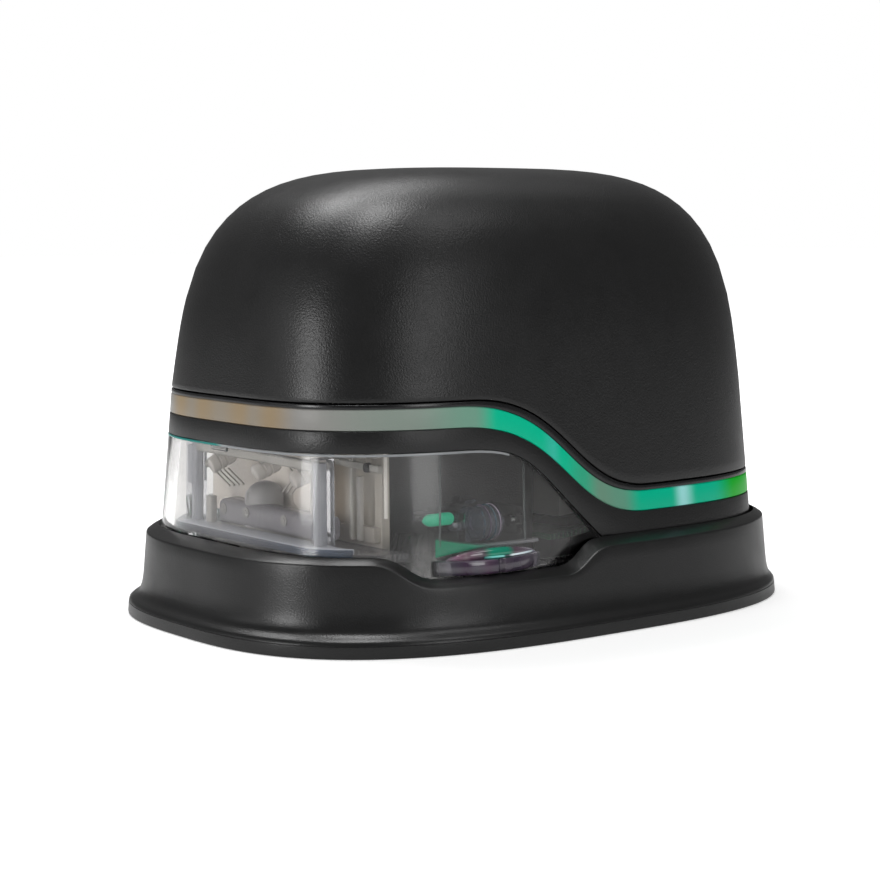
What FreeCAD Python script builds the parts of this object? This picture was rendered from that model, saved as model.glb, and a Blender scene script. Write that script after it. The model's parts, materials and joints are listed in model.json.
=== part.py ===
"""Handheld digital stamp printer standing in its charging dock, as a parametric assembly in millimetres.

The front is -Y, the rear is +Y and the printer is pushed along X. The origin is the middle of the dock's footprint,
on the table. Every size is a named cell of one spreadsheet.
"""

import FreeCAD
import Part
import math
import os
import re
import types

import Sketcher

SIZES = {
    # Device form: what stands side by side inside sets its width
    "body_length": 104.8,
    "flank_room": 3.8,
    "reference_level": 19.8,
    "side_draft": 0.077,
    "corner_power": 3.52,
    "crown_power": 2.88,
    "crown_level": 40.3,
    "crown_fall": 3.505,
    "crown_round": 4.068,
    "crown_shift": 0.95,
    "top_level": 78.4,
    "bottom_level": 6.2,
    "shell_wall": 2.0,
    "part_gap": 0.08,
    "lift_gap": 0.35,
    # Seam, trim strip and light band: level at the front, swooping down to the rear
    "seam_front": 40.3,
    "seam_rear": 23.9,
    "seam_start": 24.55,
    "seam_lead": 19.79,
    "seam_end": 12.94,
    "seam_trail": 16.71,
    "trim_front": 1.4,
    "trim_rear": 1.5,
    "band_front": 3.3,
    "band_rear": 3.35,
    "band_start": 26.98,
    "band_lead": 22.0,
    "band_end": 12.37,
    "band_trail": 18.0,
    "band_thickness": 2.1,
    "liner_wall": 1.5,
    "liner_rise": 3.0,
    "liner_drop": 3.6,
    # Clear skirt window and the position marks on its flanks
    "window_level": 31.9,
    "window_start": 26.96,
    "window_lead": 14.04,
    "window_foot": 1.13,
    "window_foot_level": 15.85,
    "window_slope": 0.9,
    "window_trail": 14.45,
    "mark_line": 20.7,
    "mark_front": 34.0,
    "mark_rear": 13.2,
    "mark_bulge": 1.4,
    "mark_level": 11.95,
    "mark_thickness": 2.0,
    "notch_width": 1.2,
    "outline_steps": 10,
    # Dock
    "dock_gap": 0.6,
    "rim_level": 15.6,
    "rim_width": 3.4,
    "rim_fall": 1.1,
    "foot_flare": 2.2,
    "lip_level": 2.35,
    "lip_thickness": 1.85,
    "dock_power": 2.9,
    "dock_wall": 1.6,
    "floor_level": 3.8,
    "floor_thickness": 1.2,
    "rest_width": 10.0,
    "recess_start": 43.0,
    "recess_flat_start": 32.0,
    "recess_flat_end": 9.5,
    "recess_end": -0.5,
    "recess_level": 11.6,
    "cover_thickness": 1.0,
    "pad_thickness": 0.5,
    "pad_radius": 4.5,
    "dock_board_length": 20.0,
    "dock_board_width": 34.0,
    "board_thickness": 1.0,
    "socket_width": 8.0,
    "socket_depth": 6.6,
    "socket_height": 2.7,
    "socket_wall": 0.3,
    "pin_radius": 0.6,
    "pin_spacing": 4.0,
    "pin_travel": 0.8,
    "contact_line": 40.0,
    "contact_block_width": 20.0,
    "contact_block_length": 5.0,
    # Print cartridge and its holder
    "cartridge_width": 40.0,
    "cartridge_length": 27.0,
    "cartridge_front": 31.0,
    "cartridge_top": 42.0,
    "grip_width": 18.0,
    "grip_length": 12.0,
    "grip_height": 4.0,
    "cartridge_gap": 0.4,
    "holder_wall": 1.6,
    "holder_top": 32.2,
    "snout_width": 26.0,
    "snout_length": 12.0,
    "nozzle_width": 18.0,
    "nozzle_length": 9.0,
    "nozzle_thickness": 0.3,
    "contact_pad_width": 14.0,
    # Chassis under the device and the clear deck in the window
    "chassis_gap": 0.3,
    "chassis_thickness": 1.8,
    "deck_level": 14.2,
    "deck_thickness": 1.2,
    "deck_chamfer": 5.0,
    "deck_front": 47.2,
    "post_width": 2.8,
    "post_spread": 20.0,
    "bridge_level": 27.9,
    "bridge_depth": 2.4,
    "lamp_holder_spread": 12.8,
    "lamp_holder_width": 4.2,
    "lamp_holder_height": 3.6,
    "lamp_holder_length": 5.4,
    "lamp_holder_tilt": 24.0,
    "strut_width": 0.7,
    "dome_radius": 4.4,
    "dome_height": 8.0,
    "dome_line": 41.8,
    "frame_thickness": 1.5,
    "frame_bar": 2.0,
    "pane_depth": 0.9,
    # Rollers and motion drums
    "tyre_radius": 4.6,
    "tyre_width": 6.0,
    "tyre_drop": 0.7,
    "hub_radius": 3.0,
    "roller_gap": 1.7,
    "roller_front": 34.8,
    "roller_rear": 33.0,
    "axle_radius": 1.25,
    "bearing_wall": 2.6,
    "running_gap": 0.05,
    "gear_module": 0.5,
    "drive_teeth": 16,
    "drum_teeth": 18,
    "gear_width": 2.0,
    "drum_radius": 3.2,
    "drum_length": 8.0,
    "drum_groove": 0.35,
    "spindle_radius": 0.9,
    "side_gap": 0.5,
    "baffle_height": 5.0,
    "baffle_rib": 0.6,
    "baffle_lean": 1.8,
    # Electronics and battery
    "board_level": 13.0,
    "board_width": 44.0,
    "board_front": 2.0,
    "board_length": 42.0,
    "chip_height": 1.4,
    "cradle_wall": 1.4,
    "battery_width": 34.0,
    "battery_length": 34.0,
    "battery_height": 9.0,
    "battery_gap": 0.4,
    "battery_rear": 42.0,
    "button_radius": 3.5,
    "button_line": 32.0,
    "button_travel": 0.8,
    "lamp_length": 10.0,
    "lamp_height": 5.0,
    "post_half": 2.2,
}

UP = FreeCAD.Vector(0, 0, 1)
FAR = 90.0
WORD = re.compile(r"[a-z][a-z0-9_]*")

doc = FreeCAD.newDocument("StampPrinter")


def make_sheet():
    """One spreadsheet row per size, each with its alias."""
    sheet = doc.addObject("Spreadsheet::Sheet", "Sizes")
    for row, (alias, amount) in enumerate(SIZES.items(), start=1):
        sheet.set(f"A{row}", alias)
        sheet.set(f"B{row}", str(amount))
        sheet.setAlias(f"B{row}", alias)
    doc.recompute()
    return sheet


sheet = make_sheet()
s = types.SimpleNamespace(**{alias: float(sheet.get(alias)) for alias in SIZES})


# Expressions and the small building blocks

def bound(text):
    """The expression with every size name pointed at the sheet."""
    return WORD.sub(lambda word: "Sizes." + word.group() if word.group() in SIZES else word.group(), str(text))


def bind(item, prop, text):
    item.setExpression(prop, bound(text))


def box(name, low, high):
    """Box between two corners, each coordinate an expression."""
    item = doc.addObject("Part::Box", name)
    for prop, axis in (("Length", 0), ("Width", 1), ("Height", 2)):
        bind(item, prop, f"({high[axis]}) - ({low[axis]})")
    for axis, letter in enumerate("xyz"):
        bind(item, f"Placement.Base.{letter}", low[axis])
    return item


def rod(name, radius, length, base, along="z"):
    """Cylinder from its base point along one row axis."""
    item = doc.addObject("Part::Cylinder", name)
    bind(item, "Radius", radius)
    bind(item, "Height", length)
    turns = {"x": (0, 1, 0, 90), "y": (1, 0, 0, -90), "z": (0, 0, 1, 0)}
    x, y, z, angle = turns[along]
    item.Placement.Rotation = FreeCAD.Rotation(FreeCAD.Vector(x, y, z), angle)
    for axis, letter in enumerate("xyz"):
        bind(item, f"Placement.Base.{letter}", base[axis])
    return item


def fuse(name, *items):
    item = doc.addObject("Part::MultiFuse", name)
    item.Shapes = list(items)
    return item


def cut(name, base, *tools):
    """Base less its tools; several tools are joined first."""
    item = doc.addObject("Part::Cut", name)
    item.Base = base
    item.Tool = tools[0] if len(tools) == 1 else fuse(name + "_tools", *tools)
    return item


def group(name, *items):
    """Separate solids kept in one node."""
    item = doc.addObject("Part::Compound", name)
    item.Links = list(items)
    return item


def feature(name, shape):
    item = doc.addObject("Part::Feature", name)
    item.Shape = shape
    item.Placement = shape.Placement
    return item


def body_named(name):
    return doc.addObject("PartDesign::Body", name)


def sketch_on(body, role, offset):
    """Empty sketch on one of the body's own origin planes, moved along its normal."""
    sketch = body.newObject("Sketcher::SketchObject", body.Name + "_sketch")
    plane = next(item for item in body.Origin.OriginFeatures if item.Role == role)
    sketch.AttachmentSupport = [(plane, "")]
    sketch.MapMode = "FlatFace"
    bind(sketch, "AttachmentOffset.Base.z", offset)
    return sketch


def polygon(sketch, corners):
    """Closed outline whose corners are pairs of expressions."""
    count = len(corners)
    first = sketch.GeometryCount
    for step in range(count):
        angle = 2 * math.pi * step / count
        turn = 2 * math.pi * (step + 1) / count
        start = FreeCAD.Vector(9 * math.cos(angle), 9 * math.sin(angle), 0)
        end = FreeCAD.Vector(9 * math.cos(turn), 9 * math.sin(turn), 0)
        sketch.addGeometry(Part.LineSegment(start, end), False)
    for step in range(count):
        after = first + (step + 1) % count
        sketch.addConstraint(Sketcher.Constraint("Coincident", first + step, 2, after, 1))
    for step, (across, along) in enumerate(corners):
        for kind, text in (("DistanceX", across), ("DistanceY", along)):
            index = sketch.addConstraint(Sketcher.Constraint(kind, first + step, 1, 1.0))
            bind(sketch, f"Constraints[{index}]", text)


def rectangle(sketch, across_low, across_high, along_low, along_high):
    polygon(sketch, [
        (across_low, along_low),
        (across_high, along_low),
        (across_high, along_high),
        (across_low, along_high),
    ])


def circle(sketch, across, along, radius):
    index = sketch.addGeometry(Part.Circle(FreeCAD.Vector(1, 1, 0), UP, 2.0), False)
    for kind, text in (("DistanceX", across), ("DistanceY", along)):
        place = sketch.addConstraint(Sketcher.Constraint(kind, index, 3, 1.0))
        bind(sketch, f"Constraints[{place}]", text)
    size = sketch.addConstraint(Sketcher.Constraint("Radius", index, 2.0))
    bind(sketch, f"Constraints[{size}]", radius)


def pad(body, sketch, length, backwards=False):
    item = body.newObject("PartDesign::Pad", body.Name + "_pad")
    item.Profile = sketch
    item.Reversed = backwards
    bind(item, "Length", length)
    body.Tip = item
    return item


def pocket(body, sketch, length, backwards=False):
    item = body.newObject("PartDesign::Pocket", body.Name + "_pocket")
    item.Profile = sketch
    item.Reversed = backwards
    bind(item, "Length", length)
    body.Tip = item
    return item


# Places that several pieces share, worked out from the sizes

holder_half = s.cartridge_width / 2 + s.cartridge_gap + s.holder_wall
body_half = holder_half + s.roller_gap + 2 * s.tyre_radius + s.flank_room
roller_x = holder_half + s.roller_gap + s.tyre_radius
roller_z = s.bottom_level - s.tyre_drop + s.tyre_radius
gear_reach = s.gear_module * (s.drive_teeth + s.drum_teeth) / 2
drum_z = roller_z + gear_reach
drum_front = s.mark_line + s.drum_length / 2 - 2.0

HOLDER_HALF = "(cartridge_width / 2 + cartridge_gap + holder_wall)"
HOLDER_FRONT = "(-cartridge_front - cartridge_gap - holder_wall)"
HOLDER_REAR = "(-cartridge_front + cartridge_length + cartridge_gap + holder_wall)"
CHASSIS_TOP = "(bottom_level + chassis_thickness)"
ROLLER_X = "(cartridge_width / 2 + cartridge_gap + holder_wall + roller_gap + tyre_radius)"
ROLLER_Z = "(bottom_level - tyre_drop + tyre_radius)"
DRUM_Z = f"({ROLLER_Z} + gear_module * (drive_teeth + drum_teeth) / 2)"


# Device form: one superellipse family, drafted below the crown and rounded over it

def superellipse(half_x, half_y, power, level, shift):
    """Closed outline whose facets gather where the corners bend most."""
    count = 4 * int(s.outline_steps)
    points = []
    for step in range(count):
        angle = 2 * math.pi * (step + 0.5) / count
        x, y = math.cos(angle), math.sin(angle)
        x = math.copysign(abs(x) ** (2 / power), x)
        y = math.copysign(abs(y) ** (2 / power), y)
        points.append(FreeCAD.Vector(half_x * x, half_y * y + shift, level))
    return Part.makePolygon(points + points[:1])


def draft_at(level):
    """How far the side wall has drawn in at a level."""
    return s.side_draft * (level - s.reference_level)


def body_section(level, inset):
    """Section of the device's form, moved in by inset."""
    rise = max(0.0, (level - s.crown_level) / (s.top_level - inset - s.crown_level))
    scale = (1 - rise ** s.crown_fall) ** (1 / s.crown_round)
    half_x = (body_half - inset - draft_at(level)) * scale
    half_y = (s.body_length / 2 - inset - draft_at(level)) * scale
    power = s.corner_power + (s.crown_power - s.corner_power) * rise
    return superellipse(half_x, half_y, power, level, s.crown_shift * rise)


FINE_RISES = (0, 0.3, 0.52, 0.7, 0.83, 0.91, 0.96, 0.99, 0.9995)
PLAIN_RISES = (0, 0.45, 0.75, 0.92, 0.99)


def body_form(inset, low, rises):
    """Solid of the device's form down to a level, with its crown in rings."""
    levels = [low] + [s.crown_level + (s.top_level - inset - s.crown_level) * rise for rise in rises]
    return Part.makeLoft([body_section(level, inset) for level in levels], True, True)


def straight_form(inset, low, high):
    """Slice of the form below its crown."""
    return Part.makeLoft([body_section(low, inset), body_section(high, inset)], True, True)


def wall(outer, inner, low, high):
    """Ring of the form between two insets."""
    return straight_form(outer, low, high).cut(straight_form(inner, low - 1, high + 1))


def swoop(front, rear, start, lead, end, trail):
    """Edges of a line that is level at the front and swoops to a lower level at the rear."""
    knee = FreeCAD.Vector(0, -start, front)
    heel = FreeCAD.Vector(0, end, rear)
    curve = Part.BezierCurve()
    curve.setPoles([
        knee,
        knee + FreeCAD.Vector(0, lead, 0),
        heel - FreeCAD.Vector(0, trail, 0),
        heel,
    ])
    return [
        Part.LineSegment(FreeCAD.Vector(0, -FAR, front), knee).toShape(),
        curve.toShape(),
        Part.LineSegment(heel, FreeCAD.Vector(0, FAR, rear)).toShape(),
    ]


def across(edges, base_level):
    """Prism along X of the region between a line and a level."""
    first = edges[0].Vertexes[0].Point
    last = edges[-1].Vertexes[-1].Point
    drop = FreeCAD.Vector(0, last.y, base_level)
    back = FreeCAD.Vector(0, first.y, base_level)
    closing = [
        Part.LineSegment(last, drop).toShape(),
        Part.LineSegment(drop, back).toShape(),
        Part.LineSegment(back, first).toShape(),
    ]
    face = Part.Face(Part.Wire(edges + closing))
    prism = face.extrude(FreeCAD.Vector(2 * FAR, 0, 0))
    prism.translate(FreeCAD.Vector(-FAR, 0, 0))
    return prism


def seam_line(lift):
    return swoop(s.seam_front + lift, s.seam_rear + lift, s.seam_start, s.seam_lead, s.seam_end, s.seam_trail)


def band_line(front, rear):
    return swoop(front, rear, s.band_start, s.band_lead, s.band_end, s.band_trail)


def band_top(lift):
    return band_line(s.seam_front - s.trim_front + lift, s.seam_rear - s.trim_rear + lift)


def band_bottom(lift):
    front = s.seam_front - s.trim_front - s.band_front + lift
    rear = s.seam_rear - s.trim_rear - s.band_rear + lift
    return band_line(front, rear)


def window_line(lift):
    """Top edge of the clear skirt: level, then a long diagonal down to the base."""
    knee = FreeCAD.Vector(0, -s.window_start, s.window_level + lift)
    foot = FreeCAD.Vector(0, s.window_foot, s.window_foot_level + lift)
    slope = FreeCAD.Vector(0, -1, s.window_slope)
    curve = Part.BezierCurve()
    curve.setPoles([knee, knee + FreeCAD.Vector(0, s.window_lead, 0), foot + slope * s.window_trail, foot])
    run_out = foot - slope * ((foot.z - lift) / s.window_slope)
    return [
        Part.LineSegment(FreeCAD.Vector(0, -FAR, knee.z), knee).toShape(),
        curve.toShape(),
        Part.LineSegment(foot, run_out).toShape(),
    ]


def single(shape):
    """The one solid of a result, cleaned of seams between its own faces."""
    solids = shape.Solids
    largest = max(solids, key=lambda solid: solid.Volume)
    return largest


# Shells of the device

def make_hood():
    """Domed cover that lifts off at the seam."""
    shell = body_form(0, s.seam_rear - 2, FINE_RISES).cut(body_form(s.shell_wall, s.seam_rear - 4, PLAIN_RISES))
    return feature("hood", single(shell.cut(across(seam_line(s.lift_gap), -FAR))))


def make_ring(name, thickness, upper, lower):
    """Ring of the form between two swooping lines."""
    ring = wall(0, thickness, s.bottom_level, s.seam_front + 1)
    return feature(name, single(ring.common(across(upper, -FAR)).cut(across(lower, -FAR))))


def make_lower_housing():
    """Black lower shell: low wall at the rear, narrow band over the window, liner behind the light band."""
    skin = wall(0, s.band_thickness + 0.4, s.bottom_level, s.seam_front)
    skin = skin.common(across(band_bottom(-s.part_gap), -FAR)).cut(across(window_line(0), -FAR))
    liner_outer = s.band_thickness + s.part_gap * 2
    liner = wall(liner_outer, liner_outer + s.liner_wall, s.bottom_level, s.seam_front + s.liner_rise)
    liner = liner.common(across(seam_line(s.liner_rise), -FAR))
    liner = liner.cut(across(band_bottom(-s.liner_drop), -FAR))
    return feature("lower_housing", single(skin.fuse(liner)))


def wall_x(y, level, inset=0):
    """Half width of the drafted wall at a distance along the device."""
    half_x = body_half - inset - draft_at(level)
    half_y = s.body_length / 2 - inset - draft_at(level)
    return half_x * (1 - abs(y / half_y) ** s.corner_power) ** (1 / s.corner_power)


def mark_pad(side):
    """Clear pad that bulges from the skirt's foot, with a notch on the print line."""
    inner = holder_half + s.roller_gap
    begin = -s.mark_front
    end = -s.mark_rear
    middle = (begin + end) / 2
    sunk = s.shell_wall / 2
    front = FreeCAD.Vector(side * wall_x(begin, s.mark_level, sunk), begin, s.mark_level)
    rear = FreeCAD.Vector(side * wall_x(end, s.mark_level, sunk), end, s.mark_level)
    nose = FreeCAD.Vector(side * (wall_x(middle, s.mark_level) + s.mark_bulge), middle, s.mark_level)
    back = FreeCAD.Vector(side * inner, middle, s.mark_level)
    bulge = Part.Arc(front, nose, rear).toShape()
    rim = Part.Wire([bulge, Part.Arc(rear, back, front).toShape()])
    pad_shape = Part.Face(rim).extrude(FreeCAD.Vector(0, 0, s.mark_thickness))
    circle = bulge.Curve
    reach = math.sqrt(circle.Radius ** 2 - (s.mark_line + circle.Center.y) ** 2)
    edge = FreeCAD.Vector(circle.Center.x + side * reach, -s.mark_line, s.mark_level)
    notch = Part.makeCylinder(s.notch_width / 2, s.mark_thickness + 2, edge - UP)
    gear_clear = s.gear_module * (s.drive_teeth + 2) / 2 + s.side_gap
    wheel_clear = max(s.tyre_radius + s.side_gap, gear_clear)
    bite_end = -drum_front + s.gear_width + s.side_gap
    bite = Part.makeBox(
        2 * wheel_clear,
        FAR,
        s.mark_thickness + 2,
        FreeCAD.Vector(side * roller_x - wheel_clear, bite_end - FAR, s.mark_level - 1),
    )
    return pad_shape.cut(notch).cut(bite)


def make_clear_skirt():
    """Clear wall round the front with its two position marks."""
    ring = wall(0, s.shell_wall, s.bottom_level, s.window_level + 1)
    skirt = single(ring.common(across(window_line(-s.part_gap), -FAR)))
    for side in (-1, 1):
        skirt = skirt.fuse(mark_pad(side))
    return feature("clear_skirt", single(skirt))


# Dock

def dock_section(level, beyond):
    """Outline beyond the device's drafted wall: it follows the device near it, with rounder corners further out."""
    half_x = body_half - draft_at(level) + beyond
    half_y = s.body_length / 2 - draft_at(level) + beyond
    away = max(0.0, min(1.0, (beyond - s.dock_gap) / s.rim_width))
    power = s.corner_power + (s.dock_power - s.corner_power) * away
    return superellipse(half_x, half_y, power, level, 0)


def dock_loft(rows):
    return Part.makeLoft([dock_section(level, beyond) for level, beyond in rows], True, True)


def rim_recess(side):
    """Dip in the dock's rim that bares a position mark; it falls outwards like the rim's bevel."""
    steep = s.rim_fall / s.rim_width
    start = body_half - 4
    lift = (body_half + s.dock_gap - start) * steep
    top = s.rim_level + s.rim_fall
    left = FreeCAD.Vector(side * start, -s.recess_start, top + lift)
    flat_left = FreeCAD.Vector(side * start, -s.recess_flat_start, s.recess_level + lift)
    flat_right = FreeCAD.Vector(side * start, -s.recess_flat_end, s.recess_level + lift)
    right = FreeCAD.Vector(side * start, -s.recess_end, top + lift)

    def ease(begin, end):
        reach = (end.y - begin.y) * 0.5
        curve = Part.BezierCurve()
        curve.setPoles([begin, begin + FreeCAD.Vector(0, reach, 0), end - FreeCAD.Vector(0, reach, 0), end])
        return curve.toShape()

    edges = [
        ease(left, flat_left),
        Part.LineSegment(flat_left, flat_right).toShape(),
        ease(flat_right, right),
        Part.LineSegment(right, left).toShape(),
    ]
    face = Part.Face(Part.Wire(edges))
    return face.extrude(FreeCAD.Vector(side * 14, 0, -14 * steep)).fuse(
        face.extrude(FreeCAD.Vector(side * 14, 0, 10)))


def make_dock_shell():
    """Flared shell with a well for the device, a floor and an open underside."""
    underside = s.lip_level - s.lip_thickness
    foot = s.dock_gap + s.rim_width + s.foot_flare
    waist = s.rim_width + s.dock_gap
    shoulder = s.rim_level - s.rim_fall
    lip = dock_loft([
        (underside, foot - 0.25),
        (underside + 0.3, foot),
        (s.lip_level - 0.5, foot),
        (s.lip_level, foot - 0.4),
    ])
    flare = [(share, (1 - share) ** 2.2) for share in (0, 0.2, 0.45, 0.75, 1)]
    side = dock_loft([
        (s.lip_level + (shoulder - s.lip_level) * share, waist + (s.foot_flare - 0.7) * push)
        for share, push in flare
    ])
    bevel = dock_loft([
        (shoulder, waist),
        (s.rim_level - 0.45 * s.rim_fall, waist - 0.3 * s.rim_width),
        (s.rim_level, s.dock_gap - 0.3),
    ])
    shell = lip.fuse(side).fuse(bevel)
    floor_top = s.floor_level + s.floor_thickness
    shell = shell.cut(dock_loft([(floor_top, s.dock_gap), (s.rim_level + 1, s.dock_gap)]))
    cavity = dock_loft([
        (underside - 1, foot - s.dock_wall),
        (s.lip_level, foot - s.dock_wall - 0.6),
        (s.floor_level, waist),
    ])
    shell = shell.cut(cavity)
    for side_sign in (-1, 1):
        shell = shell.cut(rim_recess(side_sign))
    rest_top = s.bottom_level - 0.3
    for x in (-1, 1):
        for y in (-1, 1):
            corner = FreeCAD.Vector(x * 12 - s.rest_width / 2, y * (s.body_length / 2 - 6) - 2, floor_top - 0.2)
            shell = shell.fuse(Part.makeBox(s.rest_width, 4, rest_top - floor_top + 0.2, corner))
    contact_hole = Part.makeBox(
        s.contact_block_width + 0.4,
        s.contact_block_length + 0.4,
        s.floor_thickness + 2,
        FreeCAD.Vector(-s.contact_block_width / 2 - 0.2, s.contact_line - s.contact_block_length / 2 - 0.2,
                       s.floor_level - 1),
    )
    socket_low = underside + s.cover_thickness + 0.4 + s.board_thickness
    socket_hole = Part.makeBox(
        s.socket_width + 0.8,
        20,
        s.socket_height + 0.8,
        FreeCAD.Vector(-s.socket_width / 2 - 0.4, s.body_length / 2 - 4.5, socket_low - 0.4),
    )
    return feature("dock_shell", single(shell.cut(contact_hole).cut(socket_hole)))


def make_dock_cover():
    """Plate that closes the dock from below."""
    underside = s.lip_level - s.lip_thickness
    inside = s.dock_gap + s.rim_width + s.foot_flare - s.dock_wall - 0.7
    plate = dock_loft([(underside, inside), (underside + s.cover_thickness, inside)])
    return feature("dock_bottom_cover", plate)


sheet_floor = "(lip_level - lip_thickness)"
COVER_TOP = f"({sheet_floor} + cover_thickness)"
BOARD_LOW = f"({COVER_TOP} + 0.4)"
FLOOR_TOP = "(floor_level + floor_thickness)"


def make_dock_feet():
    """Four rubber pads that the dock stands on."""
    pads = []
    for index, (x, y) in enumerate(((-1, -1), (1, -1), (-1, 1), (1, 1))):
        pads.append(rod(f"dock_foot_{index}", "pad_radius", "pad_thickness",
                        (f"{x} * {ROLLER_X}", f"{y} * (body_length / 2 - 16)", f"{sheet_floor} - pad_thickness")))
    return group("dock_feet", *pads)


def make_dock_board():
    """Circuit board screwed over the bottom cover, under the rear of the well."""
    rear = "(contact_line + 12)"
    return box("dock_circuit_board", ("-dock_board_width / 2", f"{rear} - dock_board_length", BOARD_LOW),
               ("dock_board_width / 2", rear, f"{BOARD_LOW} + board_thickness"))


def make_dock_socket():
    """Metal shell of the power socket at the dock's rear."""
    low = f"({BOARD_LOW} + board_thickness)"
    back = "(body_length / 2 + dock_gap + rim_width + foot_flare - 2.0)"
    shell = box("socket_outer", ("-socket_width / 2", f"{back} - socket_depth", low),
                ("socket_width / 2", back, f"{low} + socket_height"))
    hollow = box("socket_hollow", ("-socket_width / 2 + socket_wall", f"{back} - socket_depth + 1.0",
                                   f"{low} + socket_wall"),
                 ("socket_width / 2 - socket_wall", f"{back} + 1", f"{low} + socket_height - socket_wall"))
    tongue = box("socket_tongue", ("-socket_width / 2 + 1.6", f"{back} - socket_depth + 0.5",
                                   f"{low} + socket_height / 2 - 0.3"),
                 ("socket_width / 2 - 1.6", f"{back} - 1.2", f"{low} + socket_height / 2 + 0.3"))
    return fuse("dock_usb_socket", cut("socket_shell", shell, hollow), tongue)


def make_contact_block():
    """Block that guides the sprung charging pins."""
    body = body_named("dock_contact_block")
    plan = sketch_on(body, "XY_Plane", f"{BOARD_LOW} + board_thickness")
    rectangle(plan, "-contact_block_width / 2", "contact_block_width / 2",
              "contact_line - contact_block_length / 2", "contact_line + contact_block_length / 2")
    pad(body, plan, f"{FLOOR_TOP} + 0.4 - {BOARD_LOW} - board_thickness")
    doc.recompute()
    bores = sketch_on(body, "XY_Plane", f"{FLOOR_TOP} + 0.4")
    for step in (-1, 1):
        circle(bores, f"{step} * pin_spacing", "contact_line", "pin_radius + running_gap")
    pocket(body, bores, f"{FLOOR_TOP} - {BOARD_LOW} - board_thickness")
    return body


def make_contact_pins():
    """Two sprung pins that press on the device's charging contacts."""
    pins = []
    for index, step in enumerate((-1, 1)):
        low = f"({BOARD_LOW} + board_thickness + 0.4 + pin_travel)"
        pins.append(rod(f"contact_pin_{index}", "pin_radius", f"bottom_level - 0.1 - {low}",
                        (f"{step} * pin_spacing", "contact_line", low)))
    return group("dock_contact_pins", *pins)


def make_nozzle_cap():
    """Rubber pad in the dock that keeps the nozzle from drying."""
    body = body_named("nozzle_cap_pad")
    plan = sketch_on(body, "XY_Plane", FLOOR_TOP)
    rectangle(plan, "-nozzle_width / 2 - 2", "nozzle_width / 2 + 2",
              "-mark_line - nozzle_length / 2 - 1.5", "-mark_line + nozzle_length / 2 + 1.5")
    pad(body, plan, f"bottom_level + 0.2 - {FLOOR_TOP}")
    doc.recompute()
    hollow = sketch_on(body, "XY_Plane", "bottom_level + 0.2")
    rectangle(hollow, "-nozzle_width / 2 - 0.8", "nozzle_width / 2 + 0.8",
              "-mark_line - nozzle_length / 2 - 0.4", "-mark_line + nozzle_length / 2 + 0.4")
    pocket(body, hollow, "0.7")
    return body


# Chassis, deck and frames seen through the window

def make_chassis():
    """Device floor with openings for tyres, gears, nozzle, contacts and button."""
    inset = s.band_thickness + 0.4 + s.chassis_gap
    plate = straight_form(inset, s.bottom_level + 0.2, s.bottom_level + s.chassis_thickness)
    low = s.bottom_level - 1
    tall = s.chassis_thickness + 3
    cuts = []
    half = s.tyre_radius + s.side_gap
    for side in (-1, 1):
        for start, end in roller_slots():
            cuts.append(Part.makeBox(2 * half, end - start, tall, FreeCAD.Vector(side * roller_x - half, start, low)))
    cuts.append(Part.makeBox(s.snout_width + 1, s.snout_length + 1, tall,
                             FreeCAD.Vector(-s.snout_width / 2 - 0.5, -s.mark_line - s.snout_length / 2 - 0.5, low)))
    cuts.append(Part.makeCylinder(s.button_radius + 0.25, tall, FreeCAD.Vector(0, s.button_line, low)))
    for piece in cuts:
        plate = plate.cut(piece)
    return feature("base_chassis", single(plate))


def roller_slots():
    """Front and rear stretches of Y that the tyres and the drive gear need open."""
    front = -s.roller_front + s.bearing_wall
    rear = s.roller_rear - s.bearing_wall
    return (
        (front, -drum_front + s.gear_width + s.side_gap),
        (rear - s.tyre_width - 2 * s.side_gap, rear),
    )


def make_front_deck():
    """Clear deck in the window, chamfered at its front corners, on four feet; the outer two rise as tall posts."""
    inset = s.shell_wall + 0.6
    top = s.deck_level + s.deck_thickness
    deck = straight_form(inset, s.deck_level, top)
    deck_rear = -s.roller_front - 0.3
    reach = roller_x + s.tyre_radius
    front = -s.deck_front
    corners = [
        (-reach, deck_rear), (-reach, front + s.deck_chamfer * 1.6), (-reach + s.deck_chamfer * 2, front),
        (reach - s.deck_chamfer * 2, front), (reach, front + s.deck_chamfer * 1.6), (reach, deck_rear),
    ]
    points = [FreeCAD.Vector(x, y, s.deck_level - 1) for x, y in corners]
    points.append(points[0])
    deck = deck.common(Part.Face(Part.makePolygon(points)).extrude(FreeCAD.Vector(0, 0, 5)))
    low = s.bottom_level + s.chassis_thickness
    for side in (-1, 1):
        for x, high in ((side * s.post_spread, s.window_level - 1.5), (side * s.post_spread * 0.45, s.deck_level + 0.5)):
            corner = FreeCAD.Vector(x - s.post_width / 2, front + 3.2 - s.post_width / 2, low)
            deck = deck.fuse(Part.makeBox(s.post_width, s.post_width, high - low, corner))
    return feature("front_deck", single(deck))


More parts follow.
